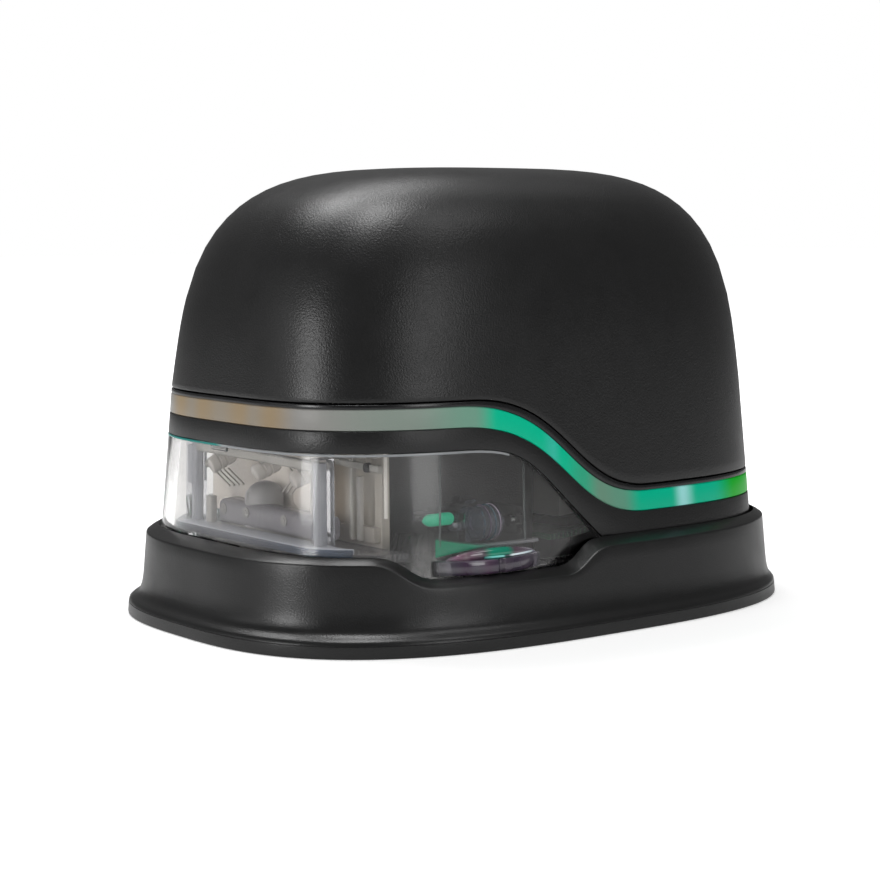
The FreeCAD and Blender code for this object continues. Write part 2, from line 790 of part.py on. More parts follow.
def make_lamp_bridge():
    """Cross beam between the tall posts, with three tilted lamp holders and slanted struts down to the deck."""
    line = -s.deck_front + 3.2
    reach = s.post_spread - s.post_width / 2
    low = s.bridge_level
    bridge = Part.makeBox(2 * reach, s.bridge_depth, 1.8, FreeCAD.Vector(-reach, line - s.bridge_depth / 2, low))
    half = s.lamp_holder_width / 2
    for column in (-1, 0, 1):
        x = column * s.lamp_holder_spread
        holder = Part.makeBox(s.lamp_holder_width, s.lamp_holder_length, s.lamp_holder_height,
                              FreeCAD.Vector(x - half, line - s.lamp_holder_length / 2, low - s.lamp_holder_height))
        bore = Part.makeCylinder(1.1, 2.0, FreeCAD.Vector(x, line - s.lamp_holder_length / 2,
                                                          low - s.lamp_holder_height / 2), FreeCAD.Vector(0, 1, 0))
        holder = holder.cut(bore)
        holder.rotate(FreeCAD.Vector(x, line, low - 0.6), FreeCAD.Vector(1, 0, 0), s.lamp_holder_tilt)
        bridge = bridge.fuse(holder)
    foot_level = s.deck_level + s.deck_thickness
    for side in (-1, 1):
        for strut in range(4):
            top_x = side * (s.lamp_holder_spread - half + 0.5 + strut * 1.25)
            foot_x = top_x - side * 5.0
            corners = [
                FreeCAD.Vector(top_x, line - 0.6, low + 0.4),
                FreeCAD.Vector(top_x + side * s.strut_width, line - 0.6, low + 0.4),
                FreeCAD.Vector(foot_x + side * s.strut_width, line - 0.6, foot_level),
                FreeCAD.Vector(foot_x, line - 0.6, foot_level),
            ]
            blade = Part.Face(Part.makePolygon(corners + corners[:1]))
            bridge = bridge.fuse(blade.extrude(FreeCAD.Vector(0, 1.2, 0)))
    return feature("lamp_bridge", single(bridge))


def make_sensor_dome():
    """Domed cover of the paper sensor on the deck, with its round eye at the front."""
    low = s.deck_level + s.deck_thickness
    radius, height = s.dome_radius, s.dome_height
    profile = [(0, low), (radius, low)]
    profile += [(radius * math.cos(math.radians(turn)), low + height * (0.45 + 0.55 * math.sin(math.radians(turn))))
                for turn in (0, 25, 45, 62, 78)]
    profile.append((0, low + height))
    points = [FreeCAD.Vector(r, -s.dome_line, z) for r, z in profile]
    points.append(points[0])
    face = Part.Face(Part.makePolygon(points))
    dome = face.revolve(FreeCAD.Vector(0, -s.dome_line, 0), UP, 360)
    eye_level = low + 2.6
    start = FreeCAD.Vector(-1.2, -s.dome_line, eye_level)
    eye = Part.makeCylinder(1.5, radius + 0.7, start, FreeCAD.Vector(0, -1, 0))
    bore = Part.makeCylinder(0.9, radius + 2, start, FreeCAD.Vector(0, -1, 0))
    return feature("sensor_dome", single(dome.fuse(eye).cut(bore)))


def make_front_frame():
    """Pale upright plate on the holder's face, with sunk panes, screw eyes and foot hooks."""
    body = body_named("front_frame")
    face = f"(-({HOLDER_FRONT}) + part_gap)"
    plan = sketch_on(body, "XZ_Plane", face)
    edge = f"({HOLDER_HALF} + 1.3)"
    low, high = f"({CHASSIS_TOP})", "(window_level - 0.4)"
    rectangle(plan, f"-{edge}", edge, low, high)
    pad(body, plan, "frame_thickness")
    doc.recompute()
    panes = sketch_on(body, "XZ_Plane", f"{face} + frame_thickness")
    bar = "(window_level - 4.0)"
    sill = "(deck_level + deck_thickness + 2.6)"
    for side in (-1, 1):
        middle = f"{side} * ({edge} - 8.6)"
        outer_post = f"{side} * ({edge} - frame_bar)"
        near, far = (middle, outer_post) if side > 0 else (outer_post, middle)
        rectangle(panes, near, far, sill, bar)
        lap = f"{side} * ({edge} - 8.6 - frame_bar)"
        near, far = ("2", lap) if side > 0 else (lap, "-2")
        rectangle(panes, near, far, sill, bar)
    pocket(body, panes, "pane_depth")
    doc.recompute()
    eyes = sketch_on(body, "XZ_Plane", f"{face} + frame_thickness + 1.2")
    for side in (-1, 1):
        circle(eyes, f"{side} * ({edge} - 4.2)", "window_level - 2.2", "1.5")
        rectangle(eyes, *((f"{edge} - 6.2", f"{edge} - 0.6") if side > 0 else (f"-{edge} + 0.6", f"-{edge} + 6.2")),
                  f"{sill} - 1.8", f"{sill} + 0.6")
    pad(body, eyes, "1.2", backwards=True)
    return body


def make_holder():
    """Open box that guides and carries the print cartridge."""
    body = body_named("cartridge_holder")
    plan = sketch_on(body, "XY_Plane", CHASSIS_TOP)
    rectangle(plan, f"-{HOLDER_HALF}", HOLDER_HALF, HOLDER_FRONT, HOLDER_REAR)
    pad(body, plan, f"holder_top - {CHASSIS_TOP}")
    doc.recompute()
    well = sketch_on(body, "XY_Plane", "holder_top")
    rectangle(well, f"-{HOLDER_HALF} + holder_wall", f"{HOLDER_HALF} - holder_wall",
              f"{HOLDER_FRONT} + holder_wall", f"{HOLDER_REAR} - holder_wall")
    pocket(body, well, f"holder_top - {CHASSIS_TOP} - holder_wall")
    doc.recompute()
    window = sketch_on(body, "XY_Plane", "holder_top")
    rectangle(window, "-snout_width / 2 - 0.5", "snout_width / 2 + 0.5",
              "-mark_line - snout_length / 2 - 0.5", "-mark_line + snout_length / 2 + 0.5")
    pocket(body, window, "holder_top")
    return body


def make_contact_board():
    """Small board behind the holder that feeds the cartridge's contacts."""
    return box("cartridge_contact_board", ("-contact_pad_width / 2 - 3", f"{HOLDER_REAR}", f"{CHASSIS_TOP} + 3"),
               ("contact_pad_width / 2 + 3", f"{HOLDER_REAR} + board_thickness", "holder_top - 2"))


# Print cartridge

CARTRIDGE_LOW = f"({CHASSIS_TOP} + holder_wall + 0.3)"
CARTRIDGE_REAR = "(-cartridge_front + cartridge_length)"


def make_cartridge():
    """Ink cartridge: stepped case with a snout through the holder's floor."""
    case = box("cartridge_case", ("-cartridge_width / 2", "-cartridge_front", CARTRIDGE_LOW),
               ("cartridge_width / 2", CARTRIDGE_REAR, "cartridge_top - 2"))
    case_round = doc.addObject("Part::Fillet", "cartridge_rounded")
    case_round.Base = case
    doc.recompute()
    upright = [index + 1 for index, edge in enumerate(case.Shape.Edges)
               if abs(edge.tangentAt(edge.FirstParameter).z) > 0.9]
    case_round.Edges = [(index, 1.5, 1.5) for index in upright]
    snout = box("cartridge_snout", ("-snout_width / 2", "-mark_line - snout_length / 2",
                                    "bottom_level + 0.4 + nozzle_thickness"),
                ("snout_width / 2", "-mark_line + snout_length / 2", f"{CARTRIDGE_LOW} + 0.2"))
    return fuse("ink_cartridge", case_round, snout)


def make_cartridge_lid():
    """Lid of the cartridge with its finger grip."""
    body = body_named("cartridge_lid")
    plan = sketch_on(body, "XY_Plane", "cartridge_top - 2")
    rectangle(plan, "-cartridge_width / 2", "cartridge_width / 2", "-cartridge_front", CARTRIDGE_REAR)
    pad(body, plan, "2")
    doc.recompute()
    grip = sketch_on(body, "XY_Plane", "cartridge_top")
    middle = "(-cartridge_front + cartridge_length / 2)"
    rectangle(grip, "-grip_width / 2", "grip_width / 2", f"{middle} - grip_length / 2", f"{middle} + grip_length / 2")
    pad(body, grip, "grip_height")
    doc.recompute()
    scoop = sketch_on(body, "YZ_Plane", "-grip_width / 2 - 1")
    for side in (-1, 1):
        circle(scoop, f"{middle} + {side} * (grip_length / 2 + 1.2)", "cartridge_top + grip_height / 2 + 0.6", "2.4")
    pocket(body, scoop, "grip_width + 2", backwards=True)
    return body


def make_nozzle_plate():
    return box("nozzle_plate", ("-nozzle_width / 2", "-mark_line - nozzle_length / 2", "bottom_level + 0.4"),
               ("nozzle_width / 2", "-mark_line + nozzle_length / 2", "bottom_level + 0.4 + nozzle_thickness"))


def make_contact_pads():
    """Copper pads down the cartridge's rear face."""
    pads = []
    for row in range(3):
        for column in range(4):
            x = f"({column} - 1.5) * contact_pad_width / 4"
            z = f"{CARTRIDGE_LOW} + 5 + {row} * 3"
            pads.append(box(f"pad_{row}_{column}", (f"{x} - 1.2", CARTRIDGE_REAR, z),
                            (f"{x} + 1.2", f"{CARTRIDGE_REAR} + 0.1", f"{z} + 2")))
    return group("cartridge_contact_pads", *pads)


# Rollers and the drums that measure the travel

def gear_wire(teeth, level):
    """Involute spur gear outline in the XZ plane, with straight roots."""
    pitch = s.gear_module * teeth / 2
    base = pitch * math.cos(math.radians(20))
    tip = pitch + s.gear_module * 0.9
    root = pitch - s.gear_module * 1.15
    half_tooth = math.pi / (2 * teeth) - 0.01
    lean = math.tan(math.acos(base / pitch)) - math.acos(base / pitch)
    flank = []
    start = max(base, root)
    for step in range(3):
        radius = start + (tip - start) * step / 2
        turn = math.acos(min(1.0, base / radius))
        flank.append((radius, half_tooth + lean - (math.tan(turn) - turn)))
    points = []
    for tooth in range(int(teeth)):
        middle = 2 * math.pi * tooth / teeth
        left = [(radius, middle - angle) for radius, angle in flank]
        right = [(radius, middle + angle) for radius, angle in reversed(flank)]
        gap = math.pi / teeth - 0.02
        valley = (root, middle + gap)
        points += [(root, middle - gap)] + left + right + [valley]
    corners = [FreeCAD.Vector(r * math.cos(a), level, r * math.sin(a)) for r, a in points]
    corners.append(corners[0])
    return Part.makePolygon(corners)


def gear(teeth, x, z, start, turn):
    """Spur gear on an axis along Y."""
    face = Part.Face(gear_wire(teeth, 0))
    solid = face.extrude(FreeCAD.Vector(0, s.gear_width, 0))
    solid.rotate(FreeCAD.Vector(0, 0, 0), FreeCAD.Vector(0, 1, 0), turn)
    solid.translate(FreeCAD.Vector(x, start, z))
    return solid


def make_roller(side, word):
    """Axle with its hubs, the tyres and the drive gear of one roller."""
    x = f"{side} * {ROLLER_X}"
    shaft = rod(f"{word}_shaft", "axle_radius", "roller_front + roller_rear - 0.6",
                (x, "-roller_front + 0.3", ROLLER_Z), "y")
    front = "(-roller_front + bearing_wall + side_gap)"
    rear = "(roller_rear - bearing_wall - side_gap - tyre_width)"
    hubs, tyres = [], []
    for index, place in enumerate((front, rear)):
        hubs.append(rod(f"{word}_hub_{index}", "hub_radius", "tyre_width", (x, place, ROLLER_Z), "y"))
        tread = rod(f"{word}_tread_{index}", "tyre_radius", "tyre_width", (x, place, ROLLER_Z), "y")
        core = rod(f"{word}_tread_bore_{index}", "hub_radius", "tyre_width + 2", (x, f"{place} - 1", ROLLER_Z), "y")
        tyres.append(cut(f"{word}_tyre_{index}", tread, core))
    fuse(f"{word}_axle", shaft, *hubs)
    group(f"{word}_tyres", *tyres)
    wheel = gear(s.drive_teeth, side * roller_x, roller_z, -drum_front, 0)
    bore = Part.makeCylinder(s.axle_radius, 20, FreeCAD.Vector(side * roller_x, -drum_front - 5, roller_z),
                             FreeCAD.Vector(0, 1, 0))
    wheel = wheel.cut(bore)
    return feature(f"{word}_drive_gear", wheel)


def make_drum(side, word):
    """Clear grooved drum with its gear, turned by the roller below it."""
    start = -drum_front
    x = side * roller_x
    barrel = start + s.gear_width
    groove = s.drum_groove
    pitch = s.drum_length / 3
    profile = [(0, start - 1.6), (s.spindle_radius, start - 1.6), (s.spindle_radius, start), (s.drum_radius, start),
               (s.drum_radius, barrel)]
    for ring in (1, 2):
        middle = barrel + pitch * ring
        profile += [(s.drum_radius, middle - groove), (s.drum_radius - groove, middle),
                    (s.drum_radius, middle + groove)]
    end = barrel + s.drum_length
    profile += [(s.drum_radius, end - 0.8), (s.drum_radius - 0.8, end), (s.spindle_radius, end),
                (s.spindle_radius, end + 1.6), (0, end + 1.6)]
    points = [FreeCAD.Vector(x + r, y, drum_z) for r, y in profile]
    points.append(points[0])
    face = Part.Face(Part.makePolygon(points))
    solid = face.revolve(FreeCAD.Vector(x, 0, drum_z), FreeCAD.Vector(0, 1, 0), 360)
    half_pitch = 180.0 / s.drum_teeth
    wheel = gear(s.drum_teeth, x, drum_z, start, 90 + half_pitch)
    return feature(f"{word}_motion_drum", single(solid.fuse(wheel)))


def make_brackets(side, word):
    """Clear bearing blocks at the roller's ends and the ears that hold its drum."""
    x = side * roller_x
    floor = s.bottom_level + s.chassis_thickness
    reach = s.axle_radius + 1.9
    blocks = []
    front = -s.roller_front
    for start in (front, s.roller_rear - s.bearing_wall):
        block = Part.makeBox(2 * reach, s.bearing_wall, roller_z + reach - floor,
                             FreeCAD.Vector(x - reach, start, floor))
        bore = Part.makeCylinder(s.axle_radius + s.running_gap, s.bearing_wall + 2,
                                 FreeCAD.Vector(x, start - 1, roller_z), FreeCAD.Vector(0, 1, 0))
        blocks.append(block.cut(bore))
    return feature(f"{word}_bearing_blocks", Part.makeCompound(blocks))


def make_drum_frame(side, word):
    """Clear side plate beside the holder with two ears round the drum's spindle."""
    floor = s.bottom_level + s.chassis_thickness
    near = holder_half + 0.1
    gear_tip = s.gear_module * (s.drum_teeth + 1.8) / 2
    thick = roller_x - gear_tip - s.side_gap - near + 0.1
    start = -drum_front - 1.6 - 0.1
    end = -drum_front + s.gear_width + s.drum_length + 1.6 + 0.1
    top = drum_z + s.spindle_radius + 1.4
    plate = Part.makeBox(thick, end - start, top - floor, FreeCAD.Vector(near, start, floor))
    ear_low = drum_z - s.spindle_radius - 1.4
    ear_reach = roller_x + s.spindle_radius + 1.4 - near
    frame = plate
    for y in (start, end - 1.3):
        ear = Part.makeBox(ear_reach, 1.3, top - ear_low, FreeCAD.Vector(near, y, ear_low))
        bore = Part.makeCylinder(s.spindle_radius + s.running_gap, 6, FreeCAD.Vector(roller_x, y - 2, drum_z),
                                 FreeCAD.Vector(0, 1, 0))
        frame = frame.fuse(ear).cut(bore)
    if side < 0:
        frame = frame.mirror(FreeCAD.Vector(0, 0, 0), FreeCAD.Vector(1, 0, 0))
    return feature(f"{word}_drum_frame", single(frame))


def make_sensor(side, word):
    """Optical sensor with its green lamp, in front of the drum."""
    end = -drum_front - 1.6 - 0.3
    x = side * roller_x
    low = drum_z - 1.6
    block = Part.makeBox(5.0, 3.6, 3.4, FreeCAD.Vector(x - 2.5, end - 3.6, low))
    lamp = Part.makeCylinder(1.1, 1.2, FreeCAD.Vector(x, end - 4.8, drum_z), FreeCAD.Vector(0, 1, 0))
    arm = Part.makeBox(abs(x) - 2.4 - holder_half - 0.1, 3.6, 1.2,
                       FreeCAD.Vector(min(side * (holder_half + 0.1), x - side * 2.4), end - 3.6, low))
    return feature(f"{word}_motion_sensor", single(block.fuse(arm).fuse(lamp)))


def make_baffle(side, word):
    """Clear baffle of slanted ribs that stands on the front bearing block and shades the sensor."""
    reach = s.axle_radius + 1.9
    floor = roller_z + reach
    start = -s.roller_front
    baffle = Part.makeBox(2 * reach, s.bearing_wall, s.baffle_rib, FreeCAD.Vector(roller_x - reach, start, floor))
    pitch = (2 * reach - s.baffle_rib - s.baffle_lean) / 3
    for rib in range(4):
        foot = roller_x - reach + rib * pitch
        low, high = floor + s.baffle_rib / 2, floor + s.baffle_height
        corners = [
            FreeCAD.Vector(foot, start, low),
            FreeCAD.Vector(foot + s.baffle_rib, start, low),
            FreeCAD.Vector(foot + s.baffle_lean + s.baffle_rib, start, high),
            FreeCAD.Vector(foot + s.baffle_lean, start, high),
        ]
        blade = Part.Face(Part.makePolygon(corners + corners[:1]))
        baffle = baffle.fuse(blade.extrude(FreeCAD.Vector(0, s.bearing_wall, 0)))
    if side < 0:
        baffle = baffle.mirror(FreeCAD.Vector(0, 0, 0), FreeCAD.Vector(1, 0, 0))
    return feature(f"{word}_light_baffle", single(baffle))


# Boards, battery and button

def make_main_board():
    """Main circuit board on four posts of the chassis."""
    body = body_named("main_circuit_board")
    plan = sketch_on(body, "XY_Plane", "board_level")
    rectangle(plan, "-board_width / 2", "board_width / 2", "board_front", "board_front + board_length")
    pad(body, plan, "board_thickness")
    return body


def make_components():
    """Chips, the board-to-board socket and the button's switch on the main board."""
    top = "(board_level + board_thickness)"
    left = "-board_width / 2"
    items = [
        box("processor", (f"{left} + 4", "board_front + 6", top),
            (f"{left} + 14", "board_front + 16", f"{top} + chip_height")),
        box("memory_chip", (f"{left} + 4", "board_front + 20", top),
            (f"{left} + 10", "board_front + 30", f"{top} + chip_height")),
        box("radio_module", ("board_width / 2 - 13", "board_front + 6", top),
            ("board_width / 2 - 3", "board_front + 20", f"{top} + chip_height")),
        box("button_switch", ("-3", "button_line - 3", "board_level - 2"), ("3", "button_line + 3", "board_level")),
    ]
    return group("board_components", *items)


def make_cradle():
    """Tray that stands over the main board and holds the battery."""
    body = body_named("battery_cradle")
    low = "(board_level + board_thickness + chip_height + 0.6)"
    half = "(battery_width / 2 + battery_gap + cradle_wall)"
    rear = "(battery_rear + battery_gap + cradle_wall)"
    front = "(battery_rear - battery_length - battery_gap - cradle_wall)"
    plan = sketch_on(body, "XY_Plane", low)
    rectangle(plan, f"-{half}", half, front, rear)
    pad(body, plan, "cradle_wall + battery_height * 0.6")
    doc.recompute()
    well = sketch_on(body, "XY_Plane", f"{low} + cradle_wall + battery_height * 0.6")
    rectangle(well, f"-{half} + cradle_wall", f"{half} - cradle_wall", f"{front} + cradle_wall",
              f"{rear} - cradle_wall")
    pocket(body, well, "battery_height * 0.6")
    doc.recompute()
    legs = sketch_on(body, "XY_Plane", low)
    for x, y in (("-6", "board_front + 10"), ("6", "board_front + 10"), ("-15", "board_front + 35"),
                 ("15", "board_front + 35")):
        rectangle(legs, f"{x} - 1.5", f"{x} + 1.5", f"{y} - 1.5", f"{y} + 1.5")
    pad(body, legs, "chip_height + 0.6", backwards=True)
    return body


def make_board_posts():
    """Posts from the chassis that carry the main board and the battery cradle."""
    posts = []
    for index, (x, y) in enumerate(((-1, "board_front + 3"), (1, "board_front + 3"),
                                    (-1, "board_front + board_length - 3"), (1, "board_front + board_length - 3"))):
        x = f"{x} * (board_width / 2 - 3)"
        posts.append(box(f"board_post_{index}", (f"{x} - post_half", f"{y} - post_half", CHASSIS_TOP),
                         (f"{x} + post_half", f"{y} + post_half", "board_level")))
    return group("board_posts", *posts)


def make_battery():
    low = "(board_level + board_thickness + chip_height + 0.6 + cradle_wall + 0.3)"
    cell = box("battery_cell", ("-battery_width / 2", "battery_rear - battery_length", low),
               ("battery_width / 2", "battery_rear", f"{low} + battery_height"))
    rounded = doc.addObject("Part::Fillet", "battery_pack")
    rounded.Base = cell
    doc.recompute()
    upright = [index + 1 for index, edge in enumerate(cell.Shape.Edges)
               if abs(edge.tangentAt(edge.FirstParameter).z) > 0.9]
    rounded.Edges = [(index, 2.5, 2.5) for index in upright]
    return rounded


def make_button():
    """Power button in the device's underside: cap, collar and stem."""
    body = body_named("power_button")
    turned = sketch_on(body, "XZ_Plane", "-button_line")
    cap_low = "(bottom_level + 0.3)"
    collar = f"({CHASSIS_TOP} + 0.3)"
    stem_top = "(board_level - 2 - 0.2 - button_travel)"
    polygon(turned, [
        ("0", cap_low), ("button_radius", cap_low), ("button_radius", collar), ("button_radius + 1", collar),
        ("button_radius + 1", f"{collar} + 0.8"), ("1.2", f"{collar} + 0.8"), ("1.2", stem_top), ("0", stem_top),
    ])
    spin = body.newObject("PartDesign::Revolution", "power_button_turned")
    spin.Profile = turned
    spin.ReferenceAxis = (turned, ["V_Axis"])
    spin.Angle = 360
    body.Tip = spin
    return body


def make_charging_contacts():
    """Gold pads under the device that meet the dock's pins."""
    pads = []
    for index, step in enumerate((-1, 1)):
        pads.append(box(f"charging_contact_{index}",
                        (f"{step} * pin_spacing - 1.4", "contact_line - 1.8", "bottom_level"),
                        (f"{step} * pin_spacing + 1.4", "contact_line + 1.8", "bottom_level + 0.2")))
    return group("charging_contacts", *pads)


def make_lamp_boards():
    """Small boards with lamps that shine outwards into the light band."""
    inset = s.band_thickness + 2 * s.part_gap + s.liner_wall + 0.4
    boards = []
    front_level = s.seam_front - s.trim_front - s.band_front / 2
    rear_level = s.seam_rear - s.trim_rear - s.band_rear / 2
    for y_side, level in ((-1, front_level), (1, rear_level)):
        high = draft_at(level + s.lamp_height / 2)
        half_x = body_half - inset - high
        half_y = s.body_length / 2 - inset - high
        for x in (-14, 0, 14):
            end = abs(x) + s.lamp_length / 2
            reach = half_y * (1 - (end / half_x) ** s.corner_power) ** (1 / s.corner_power)
            low = reach - 1.0
            y = y_side * reach if y_side < 0 else low
            boards.append(Part.makeBox(s.lamp_length, 1.0, s.lamp_height,
                                       FreeCAD.Vector(x - s.lamp_length / 2, y, level - s.lamp_height / 2)))
    return feature("lamp_boards", Part.makeCompound(boards))


make_dock_shell()
make_dock_cover()
make_dock_feet()
make_dock_board()
make_dock_socket()
make_contact_block()
make_contact_pins()
make_nozzle_cap()
make_hood()
make_ring("seam_trim", s.band_thickness, seam_line(0), band_top(s.part_gap))
make_ring("light_band", s.band_thickness, band_top(0), band_bottom(0))
make_lower_housing()
make_clear_skirt()
make_chassis()
make_front_deck()
make_lamp_bridge()
make_sensor_dome()
make_front_frame()
make_holder()
make_contact_board()
make_cartridge()
make_cartridge_lid()
make_nozzle_plate()
make_contact_pads()
for side, word in ((-1, "left"), (1, "right")):
    make_roller(side, word)
    make_drum(side, word)
    make_brackets(side, word)
    make_drum_frame(side, word)
    make_sensor(side, word)
    make_baffle(side, word)
make_board_posts()
make_main_board()
make_components()
make_cradle()
make_battery()
make_button()
make_charging_contacts()
make_lamp_boards()

NODES = [
    "dock_shell", "dock_bottom_cover", "dock_feet", "dock_circuit_board", "dock_usb_socket", "dock_contact_block",
    "dock_contact_pins", "nozzle_cap_pad", "hood", "seam_trim", "light_band", "lower_housing", "clear_skirt",
    "base_chassis", "front_deck", "lamp_bridge", "sensor_dome", "front_frame", "cartridge_holder",
    "cartridge_contact_board", "ink_cartridge",
    "cartridge_lid", "nozzle_plate", "cartridge_contact_pads", "board_posts", "main_circuit_board",
    "board_components", "battery_cradle", "battery_pack", "power_button", "charging_contacts", "lamp_boards",
]
for word in ("left", "right"):
    for piece in ("axle", "tyres", "drive_gear", "motion_drum", "bearing_blocks", "drum_frame",
                  "motion_sensor", "light_baffle"):
        NODES.append(f"{word}_{piece}")


def export():
    """Check every object, then write one file for each node."""
    doc.recompute()
    for item in doc.Objects:
        if "Invalid" in item.State or "Error" in item.State:
            raise RuntimeError(f"{item.Name} failed: {item.State}")
    os.makedirs("parts", exist_ok=True)
    for name in NODES:
        item = doc.getObject(name)
        item.Label = name
        if item.Shape.isNull() or not item.Shape.isValid() or not item.Shape.Solids:
            raise RuntimeError(f"{name} has no valid solid")
    for name in NODES:
        shape = doc.getObject(name).Shape
        shape.exportStep(os.path.join("parts", name + ".step"))
        print(name, len(shape.Solids), round(shape.Volume, 1))


export()
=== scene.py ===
"""Looks of a handheld digital stamp printer that stands in its charging dock.

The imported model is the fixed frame. The moulded shells are worked out here from the same outline formula as the
solids, but smooth, and take the places of the faceted ones. Lengths are in millimetres until spot() or MM turns
them into the frame's metres.
"""

import bmesh
import bpy
import json
import math
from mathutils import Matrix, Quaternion, Vector


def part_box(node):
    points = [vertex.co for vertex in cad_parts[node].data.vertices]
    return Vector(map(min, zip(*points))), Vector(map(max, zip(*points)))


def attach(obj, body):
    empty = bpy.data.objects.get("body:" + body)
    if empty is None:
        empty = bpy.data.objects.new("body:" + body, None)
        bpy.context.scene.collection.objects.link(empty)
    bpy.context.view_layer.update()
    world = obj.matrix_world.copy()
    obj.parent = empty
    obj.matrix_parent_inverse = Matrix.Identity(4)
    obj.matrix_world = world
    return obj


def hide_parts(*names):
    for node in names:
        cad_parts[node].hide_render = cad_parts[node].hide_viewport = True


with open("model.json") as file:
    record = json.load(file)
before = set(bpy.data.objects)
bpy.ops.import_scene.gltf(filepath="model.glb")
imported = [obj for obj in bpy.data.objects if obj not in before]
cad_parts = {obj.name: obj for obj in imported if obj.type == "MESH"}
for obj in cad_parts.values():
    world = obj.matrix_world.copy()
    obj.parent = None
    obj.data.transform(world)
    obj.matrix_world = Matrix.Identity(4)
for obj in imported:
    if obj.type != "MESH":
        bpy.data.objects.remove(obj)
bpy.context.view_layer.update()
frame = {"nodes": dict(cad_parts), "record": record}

MM = 0.001
HOOD_COLUMNS = 192
RING_COLUMNS = 384
SHARP_ANGLE = math.radians(50)
HANDS = ((-1, "left"), (1, "right"))


class Form:
    """Device form."""

    half_width = 36.7
    half_length = 52.4
    reference_level = 19.8
    side_draft = 0.077
    corner_power = 3.52
    crown_power = 2.88
    crown_level = 40.3
    crown_fall = 3.505
    crown_round = 4.068
    crown_shift = 0.95
    top_level = 78.4
    bottom_level = 6.2
    shell_wall = 2.0
    band_thickness = 2.1
    lift_gap = 0.2
    part_gap = 0.08
    guess_level = 20.0
    window_knee = (-26.96, 31.9)
    window_foot = (1.13, 15.85)
    window_lead = 14.04
    window_trail = 14.45
    window_slope = -0.9


# Lines of the side view: front level, rear level, start of the bend, its lead, its end and its trail

LINES = {
    "seam": (39.75, 23.35, 24.55, 19.79, 12.94, 16.71),
    "band_top": (38.9, 22.4, 26.98, 22.0, 12.37, 18.0),
    "band_bottom": (35.6, 19.05, 26.98, 22.0, 12.37, 18.0),
}


class Dock:
    """How far the dock's rows stand beyond the device's drafted wall."""

    gap = 0.6
    rim_level = 15.6
    rim_width = 3.4
    rim_fall = 1.1
    foot_flare = 1.6
    foot_lead = 0.55
    underside = 0.05
    lip_level = 2.1
    power = 2.9
    wall = 1.6
    floor_level = 3.8
    floor_thickness = 1.2
    recess_level = 11.6
    dip_front = (-43.0, -37.5, -32.0)
    dip_middle = -20.0
    dip_rear = (-9.5, -4.5, 0.5)
    flank_rise = 5.4


# Concave sweep from the lip up to the flank: rise, and share of the foot's flare that is left behind

DOCK_SWEEP = ((0.5, 0.04), (0.85, 0.2), (1.15, 0.42), (1.5, 0.62), (1.9, 0.76), (2.5, 0.87), (3.4, 0.95), (4.6, 0.99))

DRUM_FRONT = -22.7
DRUM_LENGTH = 5.6
DRUM_RADIUS = 2.95
DRUM_RIPPLE = 0.14
DRUM_TEETH = 18
DRUM_Z = 18.6
GEAR_WIDTH = 2.0
GEAR_MODULE = 0.5
SPINDLE_RADIUS = 0.9
ROLLER_X = 28.3

# Half a gear tooth's outline on each side: height over the pitch circle, and share of half the pitch angle

TOOTH = ((-0.58, -0.62), (0.0, -0.5), (0.42, -0.24), (0.42, 0.24), (0, 0.5), (-0.58, 0.62))


class Mark:
    """Position mark at the foot of the skirt."""

    front = -31.8
    rear = -11.7
    notch = -21.2
    low = 11.7
    high = 14.1
    bulge = 1.4
    sunk = 1.0
    inner = 33.6


class Ledge:
    """Clear ledge inside the skirt, over each roller."""

    front = -33.0
    length = 21.2
    low = 15.5
    high = 16.1
    inset = 1.95
    ribs = (-32.2, -14.7)
    rib_low = 16.0


class Window:
    """Pieces behind the window."""

    deck_low = 15.42
    deck_high = 16.35
    deck_front = 47.6
    deck_half = 33.6
    deck_chamfer = 9.0
    block_front = 43.0
    block_rear = 38.6
    block_left = 13.4
    block_right = 17.0
    block_high = 20.2
    dome_line = 39.4
    dome_radius = 3.3
    dome_high = 23.6
    beam_level = 28.8
    beam_line = 44.0
    beam_half = 18.6
    chamfer_slope = 0.8
    apron_inset = 2.6
    edge_inset = 2.4
    holders = (-13.0, 1.2, 12.8)
    screws = (-11.9, -4.8, 7.0)
    dome_middle = -4.9
    left_fins = ((-18.4, 24.2), (-16.9, 24.4), (-15.4, 24.65), (-13.9, 24.9))
    right_fins = (3.4, 4.7, 6.0)


# Turned profiles: share along the piece, and radius

BLOCK_SCREW = ((0, 0.5), (0.1, 0.85), (0.5, 0.9), (0.75, 0.9), (0.8, 0.5), (1, 0.45))
FRAME_SCREW = ((0, 0.35), (0.1, 0.75), (0.6, 0.8), (1, 0.8))
LAMP_BEAD = ((0, 0.3), (0.15, 0.6), (0.5, 0.75), (0.85, 0.6), (1, 0.3))
LAMP_HOLDER = ((0, 0.75), (0.02, 1.2), (0.06, 1.42), (0.3, 1.5), (0.32, 1.3), (0.36, 1.3), (0.38, 1.5),
               (0.55, 1.5), (0.57, 1.3), (0.61, 1.3), (0.63, 1.5), (0.9, 1.45), (0.97, 1.2), (1, 0.7))


# Curves of the side view: levels as functions of the distance along the device

